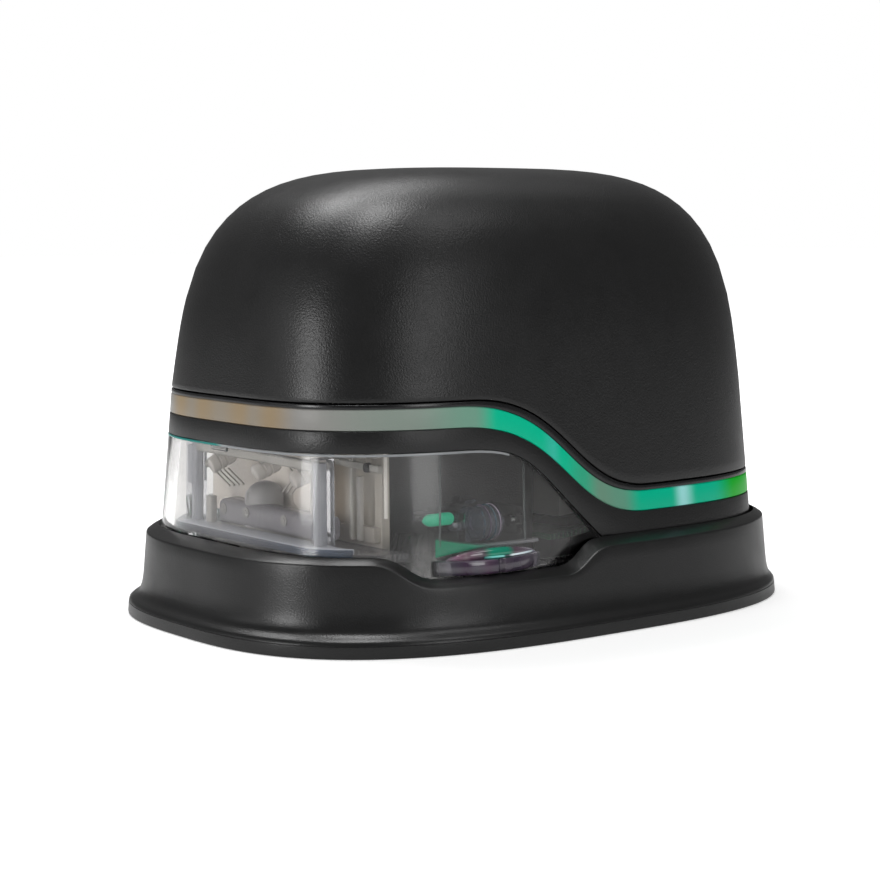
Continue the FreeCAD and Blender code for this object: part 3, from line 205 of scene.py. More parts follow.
def bezier_line(poles, rear_slope=0.0):
    """Level at each distance along the device: flat before the curve, and straight after it."""
    samples = []
    for t in (step / 200 for step in range(201)):
        weights = ((1 - t) ** 3, 3 * t * (1 - t) ** 2, 3 * t * t * (1 - t), t ** 3)
        samples.append([sum(weight * pole[axis] for weight, pole in zip(weights, poles)) for axis in (0, 1)])

    def level(y):
        if y <= samples[0][0]:
            return samples[0][1]
        if y >= samples[-1][0]:
            return samples[-1][1] + rear_slope * (y - samples[-1][0])
        (y0, z0), (y1, z1) = next(pair for pair in zip(samples, samples[1:]) if y <= pair[1][0])
        return z0 + (z1 - z0) * (y - y0) / max(y1 - y0, 1e-9)

    return level


def bent_line(name, lift=0.0):
    front, rear, start, lead, end, trail = LINES[name]
    front, rear = front + lift, rear + lift
    return bezier_line([(-start, front), (-start + lead, front), (end - trail, rear), (end, rear)])


def window_edge(lift=0.0):
    """Top edge of the clear skirt, with its long diagonal down to the base."""
    knee_y, knee_z = Form.window_knee
    foot_y, foot_z = Form.window_foot
    knee_z, foot_z = knee_z + lift, foot_z + lift
    trail, slope = Form.window_trail, Form.window_slope
    upper = (foot_y - trail, foot_z - slope * trail)
    return bezier_line([(knee_y, knee_z), (knee_y + Form.window_lead, knee_z), upper, (foot_y, foot_z)], slope)


def recess_edge():
    """Top of the dock's rim, which dips at the sides round the position marks."""
    top, dip = Dock.rim_level, Dock.recess_level
    halves = []
    for (start, middle, end), before, after in ((Dock.dip_front, top, dip), (Dock.dip_rear, dip, top)):
        halves.append(bezier_line([(start, before), (middle, before), (middle, after), (end, after)]))
    return lambda y: halves[0](y) if y < Dock.dip_middle else halves[1](y)


# Points of the form

def spot(x, y, z):
    """Point in metres from millimetres."""
    return Vector((x, y, z)) * MM


def circle(steps):
    """Cosine and sine at even steps round a circle."""
    turns = [2 * math.pi * step / steps for step in range(steps)]
    return [(math.cos(turn), math.sin(turn)) for turn in turns]


def superellipse_point(angle, half_x, half_y, power, level, shift=0.0):
    x, y = math.cos(angle), math.sin(angle)
    reach = (abs(x / half_x) ** power + abs(y / half_y) ** power) ** (-1 / power)
    return spot(reach * x, reach * y + shift, level)


def half_sizes(level, inset):
    """Half width and half length of the device's drafted wall, moved in by inset."""
    narrower = Form.side_draft * (level - Form.reference_level) + inset
    return Form.half_width - narrower, Form.half_length - narrower


def form_point(angle, level, inset=0.0):
    """Point of the device's surface, moved in by inset."""
    crown = Form.top_level - inset - Form.crown_level
    rise = min(max((level - Form.crown_level) / crown, 0.0), 0.99999)
    scale = (1 - rise ** Form.crown_fall) ** (1 / Form.crown_round)
    half_x, half_y = (half * scale for half in half_sizes(level, inset))
    power = Form.corner_power + (Form.crown_power - Form.corner_power) * rise
    return superellipse_point(angle, half_x, half_y, power, level, Form.crown_shift * rise)


def dock_point(angle, level, beyond):
    """Point of the dock's outline beyond the device's wall, with rounder corners further out."""
    away = min(max((beyond - Dock.gap) / Dock.rim_width, 0.0), 1.0)
    power = Form.corner_power + (Dock.power - Form.corner_power) * away
    return superellipse_point(angle, *half_sizes(level, -beyond), power, level)


def level_on(line, angle, inset, point=form_point):
    """Level at which a column of the surface crosses a line of the side view."""
    level = Form.guess_level
    for _ in range(14):
        level = line(point(angle, level, inset).y / MM)
    return level


def wall_x(y, level, inset=0.0):
    """Half width of the device's wall at a distance along it."""
    half_x, half_y = half_sizes(level, inset)
    power = Form.corner_power
    return half_x * (1 - abs(y / half_y) ** power) ** (1 / power)


def crossing(low, high, before):
    """Place between two others where a test stops being true."""
    for _ in range(40):
        middle = (low + high) / 2
        if before(middle):
            low = middle
        else:
            high = middle
    return high


def wall_y(x, level, inset):
    """Distance along the device at which its front wall is x wide."""
    return crossing(-half_sizes(level, inset)[1], 0.0, lambda y: wall_x(y, level, inset) < x)


def side_angle(y, side):
    """Angle at which one of the device's sides passes a distance along it."""
    angle = crossing(-math.pi / 2, math.pi / 2, lambda turn: form_point(turn, Mark.low).y / MM < y)
    return angle if side > 0 else math.pi - angle


# Meshes

def shade(mesh):
    mesh.shade_smooth()
    mesh.set_sharp_from_angle(angle=SHARP_ANGLE)


def new_piece(name, points, faces, body, material):
    """Mesh object that rides on a body, shaded smooth except at sharp edges."""
    mesh = bpy.data.meshes.new(name)
    mesh.from_pydata([tuple(point) for point in points], [], faces)
    mesh.validate()
    shell = bmesh.new()
    shell.from_mesh(mesh)
    bmesh.ops.recalc_face_normals(shell, faces=shell.faces)
    shell.to_mesh(mesh)
    shell.free()
    piece = bpy.data.objects.new(name, mesh)
    bpy.context.scene.collection.objects.link(piece)
    shade(mesh)
    mesh.materials.append(material)
    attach(piece, body)
    return piece


def flat(columns):
    return [point for column in columns for point in column]


def strip_faces(loops, closed_around, closed_along, base=0):
    """Quads between neighbouring columns of points; each column has the same count."""
    faces = []
    count = len(loops[0])
    for column in range(len(loops) if closed_around else len(loops) - 1):
        here, there = base + column * count, base + (column + 1) % len(loops) * count
        for row in range(count if closed_along else count - 1):
            below = (row + 1) % count
            faces.append((here + row, there + row, there + below, here + below))
    return faces


def fan_faces(pole, start, count, stride):
    """Triangles between a pole and one row of a closed set of columns."""
    return [(start + column * stride, start + (column + 1) % count * stride, pole) for column in range(count)]


def rounded_section(low, high, thickness, edge):
    """Depth and level pairs round the section of a thin wall, its corners eased."""
    edge = min(edge, thickness * 0.45, (high - low) * 0.45)
    corners = (
        (edge, low + edge, 180),
        (thickness - edge, low + edge, 270),
        (thickness - edge, high - edge, 0),
        (edge, high - edge, 90),
    )
    pairs = []
    for depth, level, start in corners:
        for turn in (0, 30, 60, 90):
            angle = math.radians(start + turn)
            pairs.append((depth + edge * math.cos(angle), level + edge * math.sin(angle)))
    return pairs


def ended(columns, name, material, body="device"):
    """Piece through a row of closed sections, with both ends closed."""
    count = len(columns[0])
    points, faces = flat(columns), strip_faces(columns, False, True)
    faces.append(tuple(reversed(range(count))))
    faces.append(tuple(range(len(points) - count, len(points))))
    return new_piece(name, points, faces, body, material)


def bar(name, start, end, width, height, material, body="device"):
    """Straight bar with eased edges between two places."""
    start, end = Vector(start), Vector(end)
    along = (end - start).normalized()
    across = along.cross(Vector((0, 0, 1)) if abs(along.z) < 0.9 else Vector((0, 1, 0))).normalized()
    upward = across.cross(along)
    section = rounded_section(-height / 2, height / 2, width, min(width, height) * 0.25)
    columns = []
    for middle in (start, end):
        columns.append([(middle + across * (depth - width / 2) + upward * level) * MM for depth, level in section])
    return ended(columns, name, material, body)


def crossbar(name, left, right, y, level, width, height, material, body="device"):
    return bar(name, (left, y, level), (right, y, level), width, height, material, body)


def upright(name, x, y, start, end, width, depth, material):
    return bar(name, (x, y, start), (x, y, end), width, depth, material)


def turned(name, start, end, profile, material, steps=28, body="device"):
    """Closed piece turned about any axis; profile holds pairs of share along it and radius."""
    start, end = Vector(start), Vector(end)
    along = (end - start).normalized()
    across = along.orthogonal().normalized()
    upward = along.cross(across)
    spokes = [across * cosine + upward * sine for cosine, sine in circle(steps)]
    columns = [[(start + (end - start) * share + spoke * radius) * MM for spoke in spokes]
               for share, radius in profile]
    return ended(columns, name, material, body)


def turned_along(name, x, z, profile, material, steps=48, body="device"):
    """Closed piece turned about an axis along Y; profile holds pairs of distance along it and radius."""
    return turned(name, (x, 0, z), (x, 1, z), profile, material, steps, body)


def cut_away(piece, low, high):
    """Box-shaped opening through a piece."""
    mesh = bpy.data.meshes.new("cutter")
    shell = bmesh.new()
    bmesh.ops.create_cube(shell, size=1.0)
    for vertex in shell.verts:
        vertex.co = (low + high) / 2 + vertex.co * (high - low)
    shell.to_mesh(mesh)
    shell.free()
    cutter = bpy.data.objects.new("cutter", mesh)
    bpy.context.scene.collection.objects.link(cutter)
    opening = piece.modifiers.new("opening", "BOOLEAN")
    opening.operation = "DIFFERENCE"
    opening.solver = "EXACT"
    opening.object = cutter
    result = bpy.data.meshes.new_from_object(piece.evaluated_get(bpy.context.evaluated_depsgraph_get()))
    piece.modifiers.clear()
    piece.data = result
    shade(result)
    bpy.data.objects.remove(cutter)
    bpy.data.meshes.remove(mesh)


def ring_columns(low_line, high_line, thickness, inset, edge):
    """Section points of a ring for every column where its height is more than a hair."""
    columns = []
    for step in range(RING_COLUMNS):
        angle = 2 * math.pi * step / RING_COLUMNS + math.pi / 2
        low = level_on(low_line, angle, inset)
        high = level_on(high_line, angle, inset)
        if high - low > 0.15:
            section = rounded_section(low, high, thickness, edge)
            columns.append([form_point(angle, level, inset + depth) for depth, level in section])
    return columns


def ring_piece(name, material, parts, node):
    """Piece made of one or more swept walls; an open one is closed at both ends."""
    points, faces = [], []
    for part in parts:
        columns = ring_columns(*part)
        closed = len(columns) == RING_COLUMNS
        base, count = len(points), len(columns[0])
        faces += strip_faces(columns, closed, True, base)
        if not closed:
            last = base + (len(columns) - 1) * count
            faces.append(tuple(base + row for row in reversed(range(count))))
            faces.append(tuple(last + row for row in range(count)))
        points += flat(columns)
    piece = new_piece(name, points, faces, "device", material)
    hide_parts(node)


# Hood and dock

def crown_levels(inset):
    """Levels over the crown, close together where it bends most."""
    height = Form.top_level - inset - Form.crown_level
    scales = (0.99, 0.97, 0.945, 0.915, 0.88, 0.84, 0.8, 0.75, 0.7,
              0.64, 0.58, 0.51, 0.44, 0.36, 0.28, 0.2, 0.12, 0.05)
    rises = [(1 - scale ** Form.crown_round) ** (1 / Form.crown_fall) for scale in scales]
    return [Form.crown_level + height * rise for rise in rises]


def make_hood(material):
    """Domed cover: outer skin down to the seam, an eased rim and the inner skin back up."""
    edge_line = bent_line("seam", Form.lift_gap)
    wall = Form.shell_wall
    outer_crown, inner_crown = crown_levels(0.0), crown_levels(wall)
    columns = []
    for step in range(HOOD_COLUMNS):
        angle = 2 * math.pi * step / HOOD_COLUMNS
        edge = level_on(edge_line, angle, 0.0)
        column = [form_point(angle, level) for level in reversed(outer_crown)]
        for share in (0.86, 0.7, 0.52, 0.34, 0.18, 0.06):
            column.append(form_point(angle, edge + (outer_crown[0] - edge) * share))
        for depth, lift in ((0, 0.28), (0.06, 0.1), (0.24, 0.0), (wall - 0.15, 0.0), (wall, 0.15)):
            column.append(form_point(angle, edge + lift, depth))
        for share in (0.2, 0.5, 0.8):
            column.append(form_point(angle, edge + (inner_crown[0] - edge) * share, wall))
        column += [form_point(angle, level, wall) for level in inner_crown]
        columns.append(column)
    points, faces = flat(columns), strip_faces(columns, True, False)
    count = len(columns[0])
    for row, top in ((0, Form.top_level), (count - 1, Form.top_level - wall)):
        faces += fan_faces(len(points), row, HOOD_COLUMNS, count)
        points.append(spot(0, Form.crown_shift, top))
    piece = new_piece("hood_smooth", points, faces, "hood", material)
    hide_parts("hood")


def dock_rows(rim, flare):
    """Level and width beyond the wall of a column's rows: up the outside, down the well, and below."""
    gap, fall, wall = Dock.gap, Dock.rim_fall, Dock.wall
    underside, lip, ceiling = Dock.underside, Dock.lip_level, Dock.floor_level
    floor = ceiling + Dock.floor_thickness
    waist = gap + Dock.rim_width
    foot, outer, flank = waist + flare, rim - fall, lip + Dock.flank_rise
    rows = [
        (underside, foot - wall), (underside, foot - 0.3), (underside + 0.08, foot - 0.08),
        (underside + 0.3, foot), (lip - 0.03, foot), (lip, foot - 0.16), (lip + 0.09, foot - 0.16),
        (lip + 0.12, foot - 0.02),
    ]
    rows += [(lip + rise, foot - flare * share) for rise, share in DOCK_SWEEP]
    rows += [(flank + (outer - 0.3 - flank) * share, waist) for share in (0, 0.33, 0.67, 1)]
    rows += [
        (outer - 0.1, waist - 0.05), (outer, waist - 0.16), (outer + 0.08, waist - 0.36),
        (rim - fall * 0.5, gap + Dock.rim_width * 0.5), (rim - 0.1, gap + 0.3), (rim - 0.06, gap + 0.08),
        (rim - 0.3, gap), ((rim + floor) / 2, gap), (floor + 0.3, gap), (floor, gap - 0.3),
    ]
    return rows, [(ceiling, gap - 0.3), (ceiling, waist - 0.1), (lip, foot - wall - 0.6)]


def make_dock(material):
    """Flared dock with its bevelled rim, side dips, well and open underside."""
    ceiling = Dock.floor_level
    floor = ceiling + Dock.floor_thickness
    rim_line = recess_edge()
    upper, lower = [], []
    for step in range(RING_COLUMNS):
        angle = 2 * math.pi * step / RING_COLUMNS
        rim = level_on(rim_line, angle, Dock.gap, dock_point)
        rows, hollow = dock_rows(rim, Dock.foot_flare - Dock.foot_lead * math.sin(angle))
        column = [dock_point(angle, level, beyond) for level, beyond in rows]
        column += [Vector((column[-1].x * share, column[-1].y * share, floor * MM)) for share in (0.66, 0.33)]
        upper.append(column)
        lower.append([dock_point(angle, level, beyond) for level, beyond in hollow])
    points = flat(upper + lower)
    count, under = len(upper[0]), len(lower[0])
    base = count * RING_COLUMNS
    faces = strip_faces(upper, True, False) + strip_faces(lower, True, False, base)
    faces += fan_faces(len(points), count - 1, RING_COLUMNS, count)
    faces += fan_faces(len(points) + 1, base, RING_COLUMNS, under)
    points += [spot(0, 0, floor), spot(0, 0, ceiling)]
    for column in range(RING_COLUMNS):
        after = (column + 1) % RING_COLUMNS
        faces.append((base + column * under + 2, base + after * under + 2, after * count, column * count))
    piece = new_piece("dock_smooth", points, faces, "dock", material)
    low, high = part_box("dock_usb_socket")
    cut_away(piece, Vector(low) - spot(0.4, 1.5, 0.4), Vector(high) + spot(0.4, 8, 0.4))
    low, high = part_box("dock_contact_block")
    cut_away(piece, Vector((low[0], low[1], ceiling * MM)) - spot(0.2, 0.2, 0.5),
             Vector((high[0], high[1], floor * MM)) + spot(0.2, 0.2, 0.5))
    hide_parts("dock_shell")
    for side, hand in HANDS:
        for y, end in ((-46.4, "front"), (46.4, "rear")):
            crossbar(f"rest_{hand}_{end}", 12 * side - 5, 12 * side + 5, y, floor + 0.45, 4.0, 0.9, material,
                     "dock")


# Drums and sensors

def make_drum(side, word):
    """Clear drum with rounded rings and a rounded rear end, and its gear."""
    x, body = side * ROLLER_X, f"{word}_drum"
    barrel = DRUM_FRONT + GEAR_WIDTH
    end = barrel + DRUM_LENGTH
    profile = [(DRUM_FRONT - 1.55, SPINDLE_RADIUS - 0.15), (DRUM_FRONT - 1.4, SPINDLE_RADIUS),
               (barrel - 0.02, SPINDLE_RADIUS), (barrel, DRUM_RADIUS - 0.25), (barrel + 0.2, DRUM_RADIUS)]
    for step in range(1, 44):
        share = step / 44
        ripple = DRUM_RIPPLE * math.cos(2 * math.pi * 5 * share) - DRUM_RIPPLE
        profile.append((barrel + 0.2 + (DRUM_LENGTH - 1.1) * share, DRUM_RADIUS + ripple))
    for turn in (0, 20, 40, 60, 80):
        angle = math.radians(turn)
        profile.append((end - 0.9 + 0.9 * math.sin(angle), DRUM_RADIUS - 0.9 + 0.9 * math.cos(angle)))
    profile += [(end, SPINDLE_RADIUS + 0.1), (end + 0.05, SPINDLE_RADIUS), (end + 1.4, SPINDLE_RADIUS),
                (end + 1.55, SPINDLE_RADIUS - 0.15)]
    drum = turned_along(f"{word}_drum_smooth", x, DRUM_Z, profile, film_clear, body=body)
    # The rings' tints are painted highlights and reflections, the palest at the rear
    rings = ((0.24, ring_painted_blue_reflection), (0.46, ring_painted_lilac_reflection), (0.66, ring_painted_blue_reflection), (0.83, ring_painted_pale_highlight))
    for index, (place, film) in enumerate(rings):
        drum_ring(f"{word}_drum_ring_{index}", film, body, x, barrel + DRUM_LENGTH * place)
    drum_gear(f"{word}_drum_gear", gear_clear, body, x)
    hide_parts(f"{word}_motion_drum")


def looped(columns, name, material, body):
    """Piece through a closed row of closed sections."""
    new_piece(name, flat(columns), strip_faces(columns, True, True), body, material)


def drum_gear(name, material, body, x):
    """Spur gear with tapered teeth and a hole in its middle."""
    front, rear, hole = DRUM_FRONT, DRUM_FRONT + GEAR_WIDTH - 0.05, SPINDLE_RADIUS + 0.02
    columns = []
    for tooth in range(DRUM_TEETH):
        for beyond, swing in TOOTH:
            angle = (2 * tooth + swing) * math.pi / DRUM_TEETH
            tip = GEAR_MODULE * DRUM_TEETH / 2 + beyond
            columns.append([spot(x + radius * math.cos(angle), y, DRUM_Z + radius * math.sin(angle))
                            for radius, y in ((tip, front), (tip, rear), (hole, rear), (hole, front))])
    looped(columns, name, material, body)


def drum_ring(name, material, body, x, y):
    """Fine raised ring round the drum, tinted to paint a highlight or reflection on it."""
    section = [(DRUM_RADIUS - 0.03 + 0.1 * cosine, y + 0.1 * sine) for cosine, sine in circle(8)]
    columns = [[spot(x + radius * cosine, along, DRUM_Z + radius * sine) for radius, along in section]
               for cosine, sine in circle(56)]
    looped(columns, name, material, body)


def make_sensor(side, word):
    """Green-lit lens of the motion sensor in front of the drum, on its arm from the holder."""
    low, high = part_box(f"{word}_motion_sensor")
    rear = high[1] / MM
    level = DRUM_Z + 1.35
    profile = [(rear - 5.8, 0.05)]
    profile += [(rear - 5.8 + 1.6 * share, 0.98 * math.sin(math.radians(90 * share)) ** 0.8 + 0.02)
                for share in (0.06, 0.15, 0.3, 0.5, 0.75, 1.0)]
    profile += [(rear - 0.5, 1.02), (rear - 0.1, 0.95), (rear + 0.2, 0.7), (rear + 0.4, 0.3)]
    lens = turned_along(f"{word}_sensor_lens", side * (ROLLER_X + 0.4), level, profile, sensor_green,
                        32)
    inner = abs(low[0] if side > 0 else high[0]) / MM
    section = rounded_section(level - 0.6, level + 0.4, 2.4, 0.3)
    columns = [[spot(side * across, rear - 3.0 + depth, height) for depth, height in section]
               for across in (inner, ROLLER_X - 0.4)]
    ended(columns, f"{word}_sensor_arm", chip_black)
    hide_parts(f"{word}_motion_sensor")


# Marks, ledges and the skirt's edge

def mark_bow():
    """Outer line of a position mark: an arc through its two sunk ends and its proud middle."""
    front, rear = Mark.front, Mark.rear
    middle = (front + rear) / 2
    half = (rear - front) / 2
    x_front = wall_x(front, Mark.low) - Mark.sunk
    x_rear = wall_x(rear, Mark.low) - Mark.sunk
    rise = wall_x(middle, Mark.low) + Mark.bulge - (x_front + x_rear) / 2
    radius = (half ** 2 + rise ** 2) / (2 * rise)
    lean = (x_rear - x_front) / (2 * half)

    def x(y):
        along = y - middle
        arc = math.sqrt(max(radius ** 2 - along ** 2, 0.0)) - (radius - rise)
        return (x_front + x_rear) / 2 + lean * along + arc

    return x


def make_mark_pad(side, word):
    """Position mark that bulges from the skirt's foot, with a notched rim and a raised lens; the rim and lens carry
    painted reflections, and a thin strip along the lens carries a painted highlight.
    """
    bow = mark_bow()
    front, rear, notch, inner = Mark.front, Mark.rear, Mark.notch, Mark.inner
    low, high = Mark.low, Mark.high
    places = [front + (rear - front) * (0.5 - 0.5 * math.cos(math.pi * step / 44)) for step in range(45)]
    places = [y for y in places if abs(y - notch) > 0.75]
    places += [notch + offset for offset in (-0.7, -0.55, -0.4, -0.2, 0.0, 0.2, 0.4, 0.55, 0.7)]
    pad = []
    for y in sorted(places):
        groove = math.sqrt(max(0.6 ** 2 - (y - notch) ** 2, 0.0))
        x = max(bow(y) - groove, inner + 0.6)
        rows = [(inner, low), (x - 0.3, low), (x - 0.12, low + 0.05), (x, low + 0.22), (x + 0.03, low + 1.0),
                (x, high - 0.4), (x - 0.08, high - 0.2), (x - 0.25, high - 0.05), (x - 0.5, high), (inner, high)]
        pad.append([spot(side * across, y, level) for across, level in rows])
    lens, glint = [], []
    for step in range(33):
        share = step / 32
        y = front + 1.6 + (rear - front - 2.2) * share
        swell = math.sin(math.pi * share) ** 0.6
        width, height = 0.15 + 1.7 * swell, 0.1 + 0.8 * swell
        x = bow(y) - 0.7
        lens.append([spot(side * (x - width * 0.5 * (1 - across)), y, high - 0.1 + height * (1 + above))
                     for across, above in circle(15)])
        # A thin strip that carries a painted highlight along the lens's front
        glint.append([spot(side * (x + 0.05 + 0.14 * across), y, high + 0.28 + 0.17 * above)
                      for across, above in circle(15)])
    ended(pad, f"{word}_mark_pad", mark_rim_painted_reflections)
    ended(lens, f"{word}_mark_lens", mark_lens)
    ended(glint[11:31], f"{word}_mark_painted_glint", mark_painted_glint)


def wall_strip(name, material, angles, inset, section):
    """Strip along the device's wall."""
    columns = [[form_point(angle, level, inset + depth) for depth, level in section] for angle in angles]
    ended(columns, name, material)


def make_ledge(side, word):
    """Clear ledge over a roller, deeper at its front end, which carries a painted green glow, and two upright ribs.
    """
    columns = []
    for step in range(31):
        deeper = max(0, 1 - step / 12) ** 1.3
        angle = side_angle(Ledge.front + Ledge.length * step / 30, side)
        section = rounded_section(Ledge.low - deeper * 1.0, Ledge.high + deeper * 1.4, 1.3, 0.26)
        columns.append([form_point(angle, level, Ledge.inset + depth) for depth, level in section])
    ended(columns, f"{word}_skirt_ledge", ledge_with_painted_glow)
    for index, y in enumerate(Ledge.ribs):
        middle = side_angle(y, side)
        section = rounded_section(Ledge.rib_low, window_edge()(y) - 0.6, 0.4, 0.3)
        pair = (middle - 0.0035, middle + 0.0035)
        wall_strip(f"{word}_skirt_rib_{index}", rib_clear, pair, Ledge.inset, section)


def make_edge_line():
    """Strip on the skirt's upper edge that carries painted light, a teal glow and a pale highlight, and the skirt's
    small clip at the front.
    """
    columns = ring_columns(window_edge(-0.5), window_edge(-0.12), 0.3, -0.04, 0.1)
    columns = [column for column in columns if column[0].y < -17 * MM]
    ended(columns, "skirt_edge_painted_light_strip", painted_edge_light)
    angles = [-math.pi / 2 + 0.012 * step for step in range(-4, 5)]
    wall_strip("skirt_front_clip", clear_inner, angles, -0.12, rounded_section(30.7, 31.6, 0.5, 0.2))


# Pieces behind the window

def make_apron():
    """Chamfered front of the clear deck, before the sensor block, and its edge."""
    low, high = Window.deck_low, Window.deck_high
    front, rear = -Window.deck_front, -Window.block_front
    corner = Window.deck_half - Window.deck_chamfer
    half = min(Window.deck_half, wall_x(rear, low, Window.apron_inset))
    apron, edge = [], []
    for step in range(41):
        x = -half + 2 * half * step / 40
        chamfered = front + max(0.0, abs(x) - corner) * Window.chamfer_slope
        near = max(chamfered, wall_y(abs(x), low, Window.apron_inset))
        section = rounded_section(low, high, max(rear - near, 0.4), 0.25)
        apron.append([spot(x, near + depth, level) for depth, level in section])
        near = max(chamfered, wall_y(abs(x), low, Window.edge_inset)) - 0.12
        section = rounded_section(low - 0.5, high - 0.14, 0.7, 0.2)
        edge.append([spot(x, near + depth, level) for depth, level in section])
    ended(apron, "deck_apron", apron_blue)
    ended(edge, "deck_edge", painted_teal_and_blue_edge)


def make_sensor_block():
    """Smoky block on the deck with its two screws, and the domed cover that rises from it."""
    low, high = Window.deck_high, Window.block_high
    front, rear = -Window.block_front, -Window.block_rear
    crossbar("sensor_block", -Window.block_left, Window.block_right, (front + rear) / 2, (low + high) / 2,
             rear - front, high - low, block_smoke)
    for index, x in enumerate(Window.screws):
        turned(f"block_screw_{index}", (x, front + 0.3, low + 2.4), (x, front - 0.35, low + 2.4), BLOCK_SCREW,
               bridge_clear)
    x, line, radius = Window.dome_middle, -Window.dome_line, Window.dome_radius
    profile = [(0.0, radius), (0.62, radius)]
    profile += [(0.62 + 0.38 * math.sin(math.radians(turn)), radius * math.cos(math.radians(turn)))
                for turn in (10, 20, 30, 40, 50, 60, 68, 76, 83)]
    dome = turned("dome_smooth", (x, line, low), (x, line, Window.dome_high), profile, smoke_grey, 40)
    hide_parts("sensor_dome")


def make_bridge():
    """Clear beam between posts, its tilted lamp holders, and slanted fins."""
    level, line, half, deck = Window.beam_level, -Window.beam_line, Window.beam_half, Window.deck_high
    beam = crossbar("bridge_beam", -half, half, line, level, 1.6, 1.6, bridge_clear)
    for index, x in enumerate(Window.holders):
        turned(f"lamp_holder_{index}", (x - 0.5, line - 0.8, level - 2.9), (x + 0.3, line + 3.4, level - 1.2),
               LAMP_HOLDER, holder_grey)
        upright(f"holder_neck_{index}", x, line + 0.6, level - 0.6, level - 1.6, 1.4, 1.2, bridge_clear)
    turned("lamp_bead", (-17.4, line + 0.4, 25.6), (-16.6, line + 1.6, 26.2), LAMP_BEAD, rod_pale)
    fins = {}
    for index, (x, high) in enumerate(Window.left_fins):
        fins[f"left_fin_{index}"] = (x, high, x + 5.0, high - 2.1)
    for index, x in enumerate(Window.right_fins):
        fins[f"right_fin_low_{index}"] = (x, 22.8, x + 3.8, 25.9)
        fins[f"right_fin_high_{index}"] = (x + 3.8, 25.9, x + 0.8, 28.0)
    for name, (left, start, right, end) in fins.items():
        bar(name, (left, line + 3.0, start), (right, line + 3.0, end), 0.32, 0.28, fin_grey)
    upright("pale_post", -14.9, line + 0.2, deck, 20.7, 1.9, 1.4, rod_pale)
    for side in (-1, 1):
        upright(f"bridge_post_{side}", side * 19.3, line, deck, level + 0.8, 1.6, 1.6, post_grey)
    upright("post_flange", -21.1, line, 22.4, level, 1.5, 0.9, post_grey)
    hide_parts("lamp_bridge")


def make_frame_rods():
    """Clear rods, their cross bar and the edge before the pale plate, painted near-white as a highlight."""
    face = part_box("front_frame")[0][1] / MM
    deck = Window.deck_high
    upright("frame_rod_0", 17.4, face - 0.5, deck, 30.2, 1.0, 0.9, rod_pale)
    upright("frame_rod_1", 19.5, face - 0.5, deck, 26.7, 1.0, 0.9, rod_pale)
    crossbar("frame_bar", 13.2, 25.6, face - 0.7, 28.5, 0.9, 1.1, rod_pale)
    # A thin bar tinted near-white: a painted highlight on the frame's edge
    upright("frame_edge", 26.2, face - 0.1, 20.6, 31.2, 0.5, 0.5, rod_painted_highlight)
    crossbar("frame_wing", -28.0, -20.5, face + 0.3, 23.7, 0.6, 14.4, wing_pale)
    crossbar("frame_sheet", -20.4, 11.5, face - 0.3, 24.6, 0.4, 12.0, wing_pale)
    turned("frame_screw", (22.4, face - 1.5, 28.5), (22.4, face - 0.6, 28.5), FRAME_SCREW, chip_black)


# Materials

def set_inputs(node, values):
    """Inputs of a node take plain values, or what comes out of another node."""
    for socket, value in values.items():
        if isinstance(value, bpy.types.Node):
            value = value.outputs[0]
        if isinstance(value, bpy.types.NodeSocket):
            node.id_data.links.new(value, node.inputs[socket])
        else:
            node.inputs[socket].default_value = value


def add_node(tree, kind, values=None, operation=None):
    node = tree.nodes.new("ShaderNode" + kind)
    if operation:
        node.operation = operation
    set_inputs(node, values or {})
    return node


def on_object(tree, kind, values=None, operation=None):
    """Node that takes the place in the object's own metres."""
    place = add_node(tree, "TexCoord").outputs["Object"]
    return add_node(tree, kind, {"Vector": place, **(values or {})}, operation)


def noise(tree, scale, detail=2.0):
    return on_object(tree, "TexNoise", {"Scale": scale, "Detail": detail})


def color_ramp(tree, share, stops, interpolation="LINEAR"):
    ramp = add_node(tree, "ValToRGB", {"Fac": share})
    ramp.color_ramp.interpolation = interpolation
    elements = ramp.color_ramp.elements
    while len(elements) < len(stops):
        elements.new(0.5)
    for element, (position, *color) in zip(elements, stops):
        element.position = position
        element.color = (*color, 1)
    return ramp


def material_named(name):
    material = bpy.data.materials.new(name)
    material.use_nodes = True
    tree = material.node_tree
    return material, tree, tree.nodes["Principled BSDF"]


def mapped(tree, value, low, high, start=0.0, end=1.0):
    """The span from low to high laid over the one from start to end."""
    spans = {"From Min": low, "From Max": high, "To Min": start, "To Max": end}
    return add_node(tree, "MapRange", {"Value": value, **spans})


def roughen(tree, shader, scale, low, high):
    """Roughness that drifts between two values over the surface."""
    set_inputs(shader, {"Roughness": mapped(tree, noise(tree, scale), 0.3, 0.7, low, high)})


def uneven(tree, shader, scale, detail, strength, depth):
    """Fine unevenness as a bump."""
    height = {"Strength": strength, "Distance": depth, "Height": noise(tree, scale, detail)}
    set_inputs(shader, {"Normal": add_node(tree, "Bump", height)})


def mottled(tree, shader, color, change, scale):
    """Base colour that drifts a little over the surface."""
    darker, brighter = ([channel * share for channel in color] for share in (1 - change, 1 + change))
    set_inputs(shader, {"Base Color": color_ramp(tree, noise(tree, scale), [(0.3, *darker), (0.7, *brighter)])})


def moulded(name, color, roughness, grain_size=0.0003, grain_depth=0.00009, specular=0.5):
    """Plastic out of a textured mould."""
    material, tree, shader = material_named(name)
    mottled(tree, shader, color, 0.06, 60.0)
    roughen(tree, shader, 180.0, roughness - 0.03, roughness + 0.03)
    uneven(tree, shader, 1 / grain_size, 3.0, 0.6, grain_depth)
    set_inputs(shader, {"Specular IOR Level": specular})
    return material


def glossy(name, color):
    material, tree, shader = material_named(name)
    mottled(tree, shader, color, 0.05, 40.0)
    roughen(tree, shader, 90.0, 0.2, 0.28)
    set_inputs(shader, {"Coat Weight": 0.1, "Coat Roughness": 0.2})
    return material


